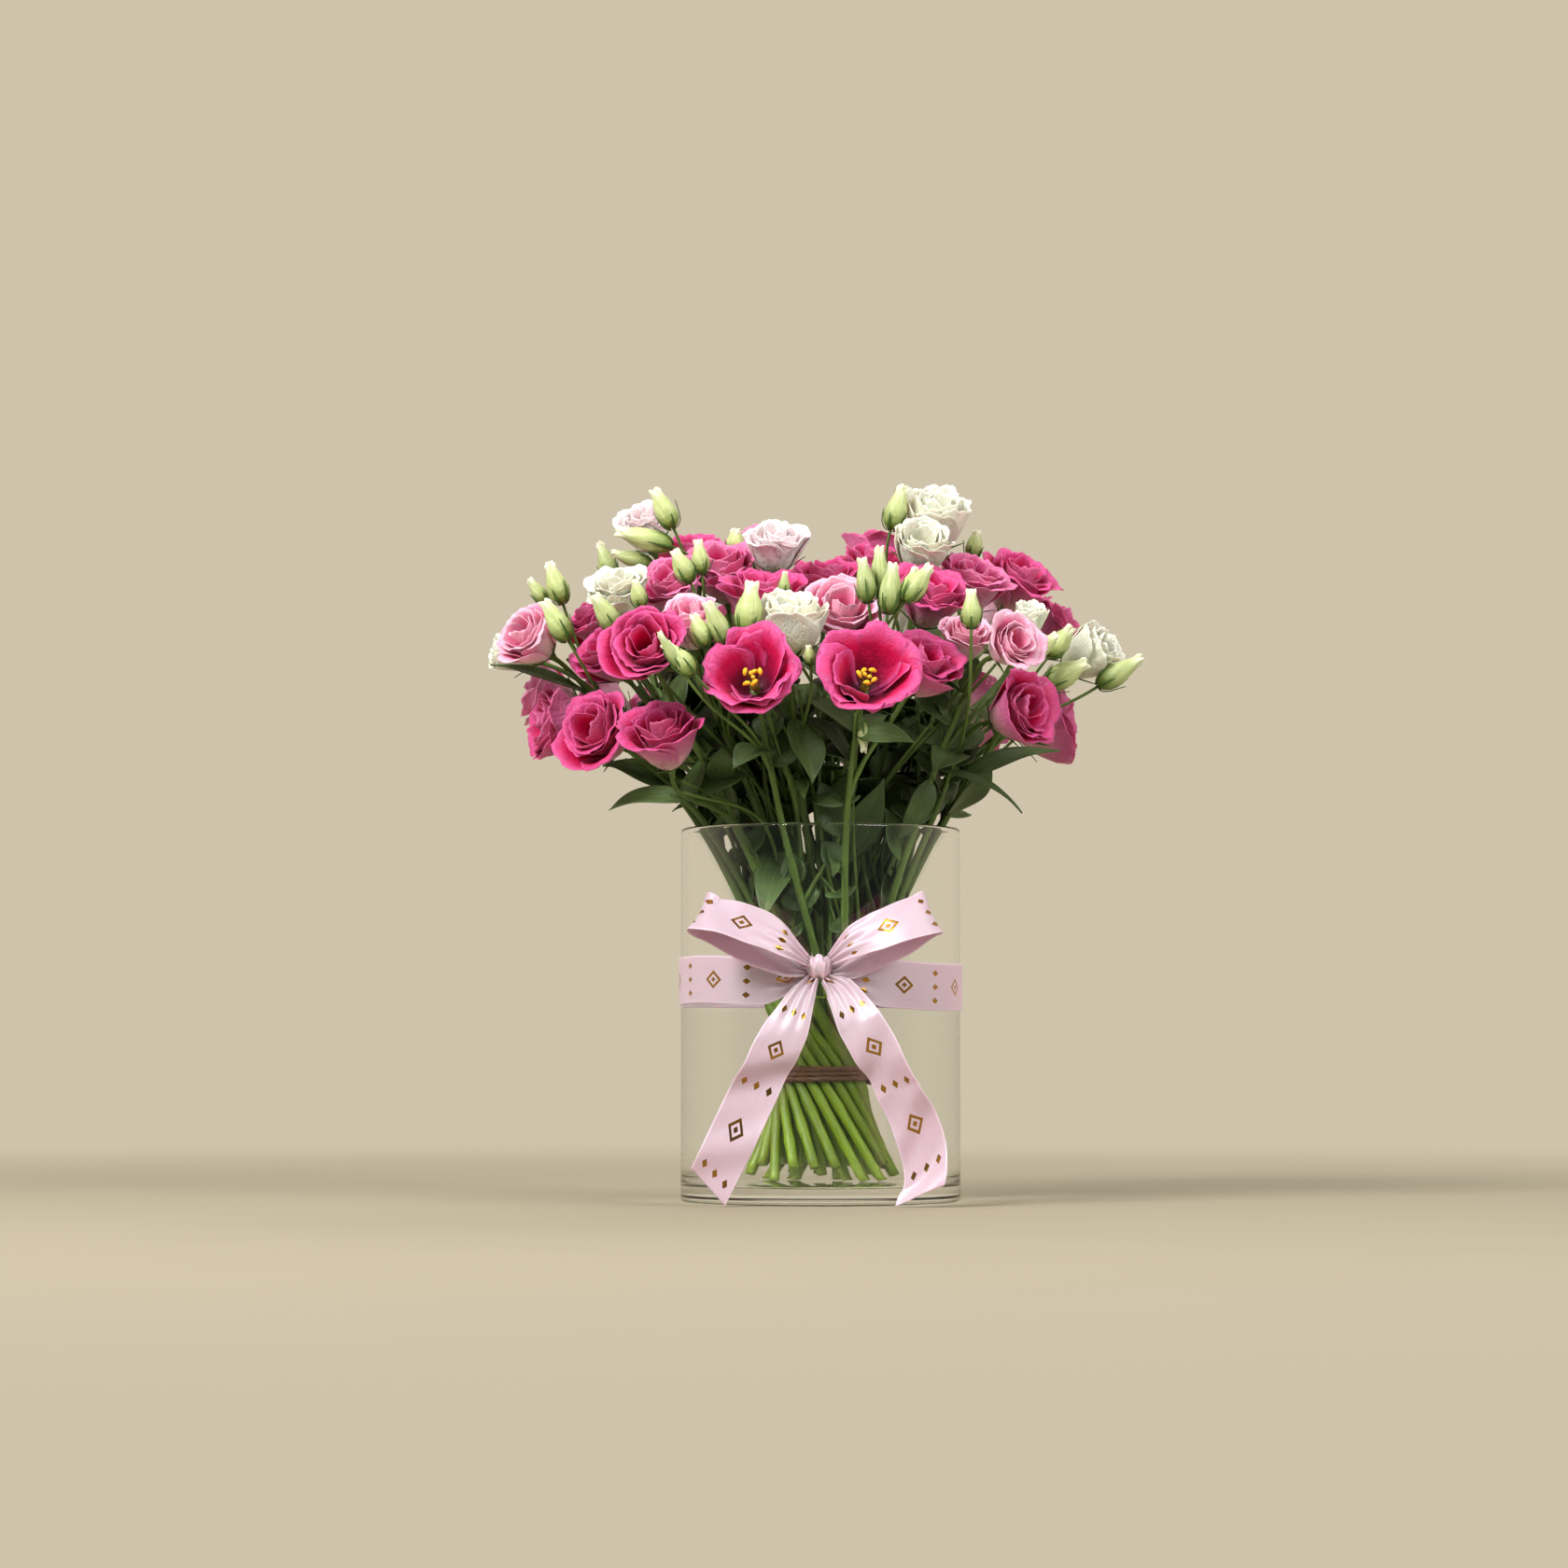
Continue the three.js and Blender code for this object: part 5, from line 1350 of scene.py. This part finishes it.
def strip(centres, across, half_widths, phase, wave=0.0, cut=(0.0, 0.0)):
    """A ribbon along a path. With u from -1 to 1, a point lies at half width times u across and at
    depth times sin(pi pleats u + phase) out of the sheet. The depth makes the section keep its full
    25 mm: (12.5 - half width) / (2 pleats). A long slanting wave bends the ribbon out of its plane, its
    edges curl with u^2, and at the end it runs on by cut[0] + cut[1] u, which gives the slanting cut.
    UV in metres."""
    along = unit(np.gradient(centres, axis=0))
    side = unit(across - (along * across).sum(axis=1, keepdims=True) * along)
    out = np.cross(along, side)
    u = np.linspace(-1, 1, STRIP_COLUMNS)
    depth = np.maximum(RIBBON_WIDTH / 2 - half_widths, 0) / (2 * PLEATS)
    fold = np.sin(np.pi * PLEATS * u[None] + phase) * depth[:, None]
    run = np.concatenate([[0], np.cumsum(np.linalg.norm(np.diff(centres, axis=0), axis=1))])
    share = run / run[-1]
    slanting = 2 * np.pi * (run[:, None] / WAVE_LENGTH + 0.2 * u[None]) + phase * 2
    bend = wave * np.sin(slanting) + 0.3 * wave * np.sin(2.3 * slanting)
    bend = bend * smooth(share, 0.12, 0.4)[:, None]
    curl = 0.6 * wave * u[None] ** 2 * smooth(share, 0.2, 0.6)[:, None]
    run_on = (cut[0] + cut[1] * u[None]) * smooth(share, 0.5, 1.0)[:, None]
    grid = (centres[:, None] + (half_widths[:, None] * u)[..., None] * side[:, None]
            + (fold + bend + curl)[..., None] * out[:, None]
            + run_on[..., None] * along[:, None])
    body = blade(grid, RIBBON_THICK)
    length = run[-1] + cut[0]
    body["faces"] = [(f, uv * [RIBBON_WIDTH * MM, length * MM]) for f, uv in body["faces"]]
    return body, length


def ribbon(name, body, run, held, rests_on, *with_pieces):
    made = piece(name, [body], satin, "satin", name.replace("satin_", ""))
    return made


# %% The knot
KNOT_X, KNOT_Z = -1.4, 124.7
KNOT_SIZE = (6.7, 5.4, 6.4)  # half width, half depth and half height
BAND_LIFT, BAND_THICK = 0.5, 0.8
band_face = -(VASE_RADIUS + BAND_LIFT + BAND_THICK)


def knot_body():
    """The wrap of ribbon round the middle of the bow: a barrel whose axis lies across and whose radius is
    the root of 1 - x^4 times 1 + 0.13 sin(7.5 x + 1.6 sin(a + 0.6) + 0.4), so its folds slant round it,
    with finer folds on them. Its UV lies 8 to 20 mm along the ribbon, where no foil is."""
    around = np.linspace(0, 2 * np.pi, 72, endpoint=False)
    x, a = np.meshgrid(np.linspace(-0.995, 0.995, 61), around, indexing="ij")
    bulge = (1 - np.abs(x) ** 4) ** 0.5
    fold = 1 + 0.13 * np.sin(7.5 * x + 1.6 * np.sin(a + 0.6) + 0.4)
    fold = fold + 0.03 * np.sin(17 * x - 2 * np.sin(a))
    fold = 1 + (fold - 1) * smooth(bulge, 0.1, 0.6)
    y = band_face - GAP - KNOT_SIZE[1] + KNOT_SIZE[1] * 0.9 * bulge * fold * np.cos(a)
    z = KNOT_Z + KNOT_SIZE[2] * 0.92 * bulge * fold * np.sin(a)
    body = tube(np.stack([KNOT_X + x * KNOT_SIZE[0], y, z], axis=-1))
    body["faces"] = [(f, uv * [0.04, 0.012] + [0.0, 0.008]) for f, uv in body["faces"]]
    return body


knot = piece("satin_bow_knot", [knot_body()], satin, "satin", "bow_knot")
print("knot", np.round(2 * np.array(KNOT_SIZE), 1).tolist(), "mm")

# %% [markdown]
# The band lies on the glass and narrows into the knot at the front. Its height runs from 118.5 mm on the
# left to 114.5 mm on the right, as the ribbon was tied a little askew.

# %% The band
BAND_LEFT, BAND_RIGHT, BAND_KNOT = 118.5, 114.5, 122.0  # heights of its middle line
BAND_PINCH = 36.0  # from the knot to where it has its full width


def band_body():
    """A closed ring that starts and ends behind the knot, where its ends overlap."""
    way = np.linspace(0.004, 2 * np.pi - 0.004, 260)
    reach = VASE_RADIUS + BAND_LIFT + BAND_THICK / 2
    from_knot = np.minimum(way, 2 * np.pi - way) * reach
    opened = smooth(from_knot, 0, BAND_PINCH)
    angle = way - np.pi / 2
    level = (BAND_LEFT + BAND_RIGHT) / 2 + (BAND_RIGHT - BAND_LEFT) / 2 * np.cos(angle)
    z = mix(BAND_KNOT, level, opened) + 0.5 * np.sin(5 * way) * opened
    depth_room = reach + 0.9 * (1 - opened)
    centres = np.stack([depth_room * np.cos(angle), depth_room * np.sin(angle), z], axis=1)
    half = mix(4.0, RIBBON_WIDTH / 2, opened)
    return strip(centres, np.tile([0.0, 0.0, 1.0], (len(way), 1)), half, phase=0.6)


ribbon("satin_ribbon_band", *band_body(), "stretched", ["vase_glass"], knot)
print("band from", BAND_LEFT, "to", BAND_RIGHT, "mm")

# %% [markdown]
# The loops leave the knot pleated, open to their full width, fold over at their outer ends and come back
# in front. The tails hang in front of the glass and end in a slanting cut.

# %% Middle lines of loops and tails
FULL = RIBBON_WIDTH / 2
LEFT, RIGHT = (0.36, 0.62, 0.7), (-0.4, 0.5, 0.77)
# x, y, z of the middle line, the direction across, and half the width there.
BOW = {
    "bow_loop_left": [
        (-7.7, -80.4, 121, LEFT, 2.6), (-17, -79.5, 124.5, LEFT, 7.5), (-34, -79.5, 134, LEFT, 11.8),
        (-52, -80.5, 143.5, LEFT, FULL), (-60.5, -84, 149.5, LEFT, FULL), (-62.5, -89, 152, LEFT, FULL),
        (-59, -94, 151.5, LEFT, FULL), (-46, -97.5, 149, LEFT, FULL), (-32, -97, 144, LEFT, 11.5),
        (-20, -94, 137, LEFT, 9), (-7.8, -87, 127.3, LEFT, 3.2),
    ],
    "bow_loop_right": [
        (4.9, -80.4, 121.2, RIGHT, 2.6), (14, -79.5, 124.5, RIGHT, 7.5), (30, -79.5, 134.5, RIGHT, 11.8),
        (46, -80.5, 144, RIGHT, FULL), (54.5, -84, 150, RIGHT, FULL), (57, -89, 152.6, RIGHT, FULL),
        (53.5, -94, 151.8, RIGHT, FULL), (42, -97.5, 148, RIGHT, FULL), (28, -97, 143, RIGHT, 11.8),
        (16, -94, 137, RIGHT, 9), (5.2, -87, 128, RIGHT, 3.2),
    ],
    "bow_tail_left": [
        (-4.5, -83, 119.2, (1, 0, 0.1), 3.2), (-9, -85.5, 112.5, (1, -0.1, 0.3), 6.5),
        (-17.7, -88, 93.3, (1, -0.1, 0.4), 11.5), (-25.4, -86.5, 78.7, (1, 0, 0.45), FULL),
        (-33.2, -83, 63.6, (1, 0, 0.47), FULL), (-40.5, -81.5, 48.6, (1, 0, 0.47), FULL),
        (-47.8, -80.5, 33.5, (1, 0, 0.47), FULL), (-55.5, -80, 17.5, (1, 0, -0.05), 12.2),
    ],
    "bow_tail_right": [
        (2.2, -83, 118.8, (1, 0, -0.1), 3.2), (9, -85.5, 113, (1, -0.2, -0.2), 8),
        (19.7, -92, 95.1, (1, -0.28, -0.35), 12.2), (30.1, -92.5, 77.3, (1, -0.15, -0.55), FULL),
        (39.5, -88, 60.9, (1, 0, -0.55), FULL), (48.4, -84, 43.5, (1, -0.1, -0.4), FULL),
        (52.8, -83, 29, (1, -0.3, -0.12), FULL), (53.8, -84, 17, (1, -0.4, 0.15), FULL),
        (51.5, -86, 7.6, (1, -0.3, 0.4), FULL),
    ],
}
print("stations", {name: len(stations) for name, stations in BOW.items()})

# %% Loops and tails
BOW_STEPS = 120
LOOP_WAVE, TAIL_WAVE = 0.9, 1.6
# How far the middle of the end runs on, and how much more its right edge does, in millimetres.
TAIL_CUTS = {"bow_tail_left": (8.0, 5.0), "bow_tail_right": (2.0, -7.5)}
for number, (name, stations) in enumerate(BOW.items()):
    table = np.array([[x, y, z, *across, half] for x, y, z, across, half in stations], float)
    centres = through(table[:, :3], BOW_STEPS)
    run = np.concatenate([[0], np.cumsum(np.linalg.norm(np.diff(table[:, :3], axis=0), axis=1))])
    way = np.linspace(0, run[-1], BOW_STEPS)
    across = np.stack([np.interp(way, run, table[:, k]) for k in (3, 4, 5)], axis=1)
    half = np.interp(way, run, table[:, 6])
    held = "gathered" if "loop" in name else "hung"
    wave, cut = (LOOP_WAVE, (0, 0)) if "loop" in name else (TAIL_WAVE, TAIL_CUTS[name])
    body, length = strip(centres, across, half, 0.7 * number, wave, cut)
    if name == "bow_loop_right":  # it runs the other way round, so face and back change places
        body["inside"] = 1 - body["inside"]
    ribbon("satin_" + name, body, length, held, [knot])
print("bow pieces", len(BOW) + 2)

# %% [markdown]
# ## Floor, light and camera
#
# A plain pale floor and a room of one warm grey tone, lit by a large soft lamp from the upper left, a
# weaker one from the right and soft ones from behind and above. The camera is far away and low, a little
# below the bow, and looks slightly up, as in the photograph.

# %% Floor
FLOOR_SIZE = 4.0
FADE_START, FADE_END = 0.35, 1.5  # metres from the middle


def floor_material():
    """Painted studio floor: a warm grey with the slight mottle of a roller, which fades out with its
    distance from the object into the lit backdrop, as a seamless paper roll does."""
    material, tree = new_material("painted_floor")
    place = add(tree, "TexCoord").outputs["Object"]
    far = add(tree, "VectorMath", {"operation": "LENGTH"}, {0: place}).outputs["Value"]
    share = add(tree, "MapRange", {**SOFT, 1: FADE_START, 2: FADE_END}, {0: far})
    mottle = add(tree, "TexNoise", {"Scale": 8.0, "Detail": 4.0}, {"Vector": place})
    colour = add(tree, "Mix", {**RGBA, 6: srgb("#9B917B"), 7: srgb("#9F9580")}, {0: mottle}).outputs[2]
    paint = add(tree, "BsdfPrincipled", {"Roughness": 1.0, "Specular IOR Level": 0.0}, {"Base Color": colour})
    clear = add(tree, "BsdfTransparent")
    faded = add(tree, "MixShader", links={0: share, 1: paint, 2: clear})
    add(tree, "OutputMaterial", links={0: faded})
    return material


half = FLOOR_SIZE / 2
floor_corners = [(-half, -half, 0), (half, -half, 0), (half, half, 0), (-half, half, 0)]
floor_mesh = bpy.data.meshes.new("floor")
floor_mesh.from_pydata(floor_corners, [], [(0, 1, 2, 3)])
floor_mesh.materials.append(floor_material())
floor = bpy.data.objects.new("floor", floor_mesh)
bpy.context.scene.collection.objects.link(floor)
print("floor", FLOOR_SIZE, "m")

# %% [markdown]
# The room shows its warm backdrop where it is seen, also through the glass, but the light that it sends
# to the flowers is neutral. With the backdrop's own warm light, the pinks would turn to red. What is
# mirrored is a room with a bright back and sides and a dim front: it lights the edges of the glass and
# leaves no veil on the stems behind its front.

# %% Room light
BACKDROP = "#CFC3AB"
ROOM_LIGHT = 0.48
ROOM_GLOSS = 0.08  # what shiny surfaces mirror of the front of the room
scene = bpy.context.scene
scene.world = bpy.data.worlds.new("room")
scene.world.use_nodes = True
room = scene.world.node_tree
room.nodes.clear()
ray = add(room, "LightPath")
turned = add(room, "Math", {"operation": "ADD"},
             {0: ray.outputs["Glossy Depth"], 1: ray.outputs["Diffuse Depth"]})
straight = add(room, "Math", {"operation": "LESS_THAN", 1: 0.5}, {0: turned})
through_glass = add(room, "Math", {"operation": "MULTIPLY"},
                    {0: straight, 1: ray.outputs["Is Transmission Ray"]})
seen = add(room, "Math", {"operation": "MAXIMUM"}, {0: ray.outputs["Is Camera Ray"], 1: through_glass})
mirrored = add(room, "Math", {"operation": "GREATER_THAN", 1: 0.5}, {0: ray.outputs["Glossy Depth"]})
to_back = add(room, "SeparateXYZ", links={0: add(room, "TexCoord").outputs["Generated"]}).outputs[1]
bright_side = add(room, "MapRange", {**SOFT, 1: -0.6, 2: 0.1}, {0: to_back})
dim_front, neutral = (ROOM_GLOSS,) * 3 + (1,), (ROOM_LIGHT,) * 3 + (1,)
gloss = add(room, "Mix", {**RGBA, 6: dim_front, 7: srgb(BACKDROP)}, {0: bright_side}).outputs[2]
light = add(room, "Mix", {**RGBA, 6: neutral}, {0: mirrored, 7: gloss}).outputs[2]
shown = add(room, "Mix", {**RGBA, 7: srgb(BACKDROP)}, {0: seen, 6: light}).outputs[2]
backdrop = add(room, "Background", links={0: shown})
add(room, "OutputWorld", links={0: backdrop})
scene.view_settings.view_transform = "Standard"
print("room light", ROOM_LIGHT, "mirrored front", ROOM_GLOSS)


# %% Lamps
def softbox(name, place, aim, size, watts, glossy=True):
    """A square area lamp at a place, turned to shine at a point. It isn't seen through glass, and only a
    glossy one is mirrored."""
    lamp = bpy.data.lights.new(name, "AREA")
    lamp.shape = "SQUARE"
    lamp.size = size
    lamp.energy = watts
    made = bpy.data.objects.new(name, lamp)
    made.location = place
    made.rotation_euler = (Vector(place) - Vector(aim)).to_track_quat("Z", "Y").to_euler()
    made.visible_glossy = glossy
    made.visible_transmission = False
    scene.collection.objects.link(made)


softbox("key", (-1.3, -1.5, 1.6), (0, 0, 0.25), 0.8, 60)
softbox("fill", (1.5, -1.5, 1.25), (0, 0, 0.2), 1.0, 26)
softbox("back", (0.5, 1.6, 1.5), (0, 0, 0.3), 1.2, 16, glossy=False)
softbox("top", (-0.1, -0.4, 1.9), (0, 0, 0.3), 0.9, 10)
print("lamps", len(bpy.data.lights))

# %% Camera
# Worked out from the ellipses of the vase's rim and floor in the photograph.
EYE = (-0.0196, -2.475, 0.085)
PITCH = 3.22  # degrees above level
LENS, SENSOR = 105.7, 36
camera = bpy.data.cameras.new("camera")
camera.lens = LENS
camera.sensor_width = SENSOR
camera.clip_end = 100
eye = bpy.data.objects.new("camera", camera)
eye.location = EYE
eye.rotation_euler = (math.radians(90 + PITCH), 0, 0)
scene.collection.objects.link(eye)
scene.camera = eye
print("camera", EYE, "lens", LENS)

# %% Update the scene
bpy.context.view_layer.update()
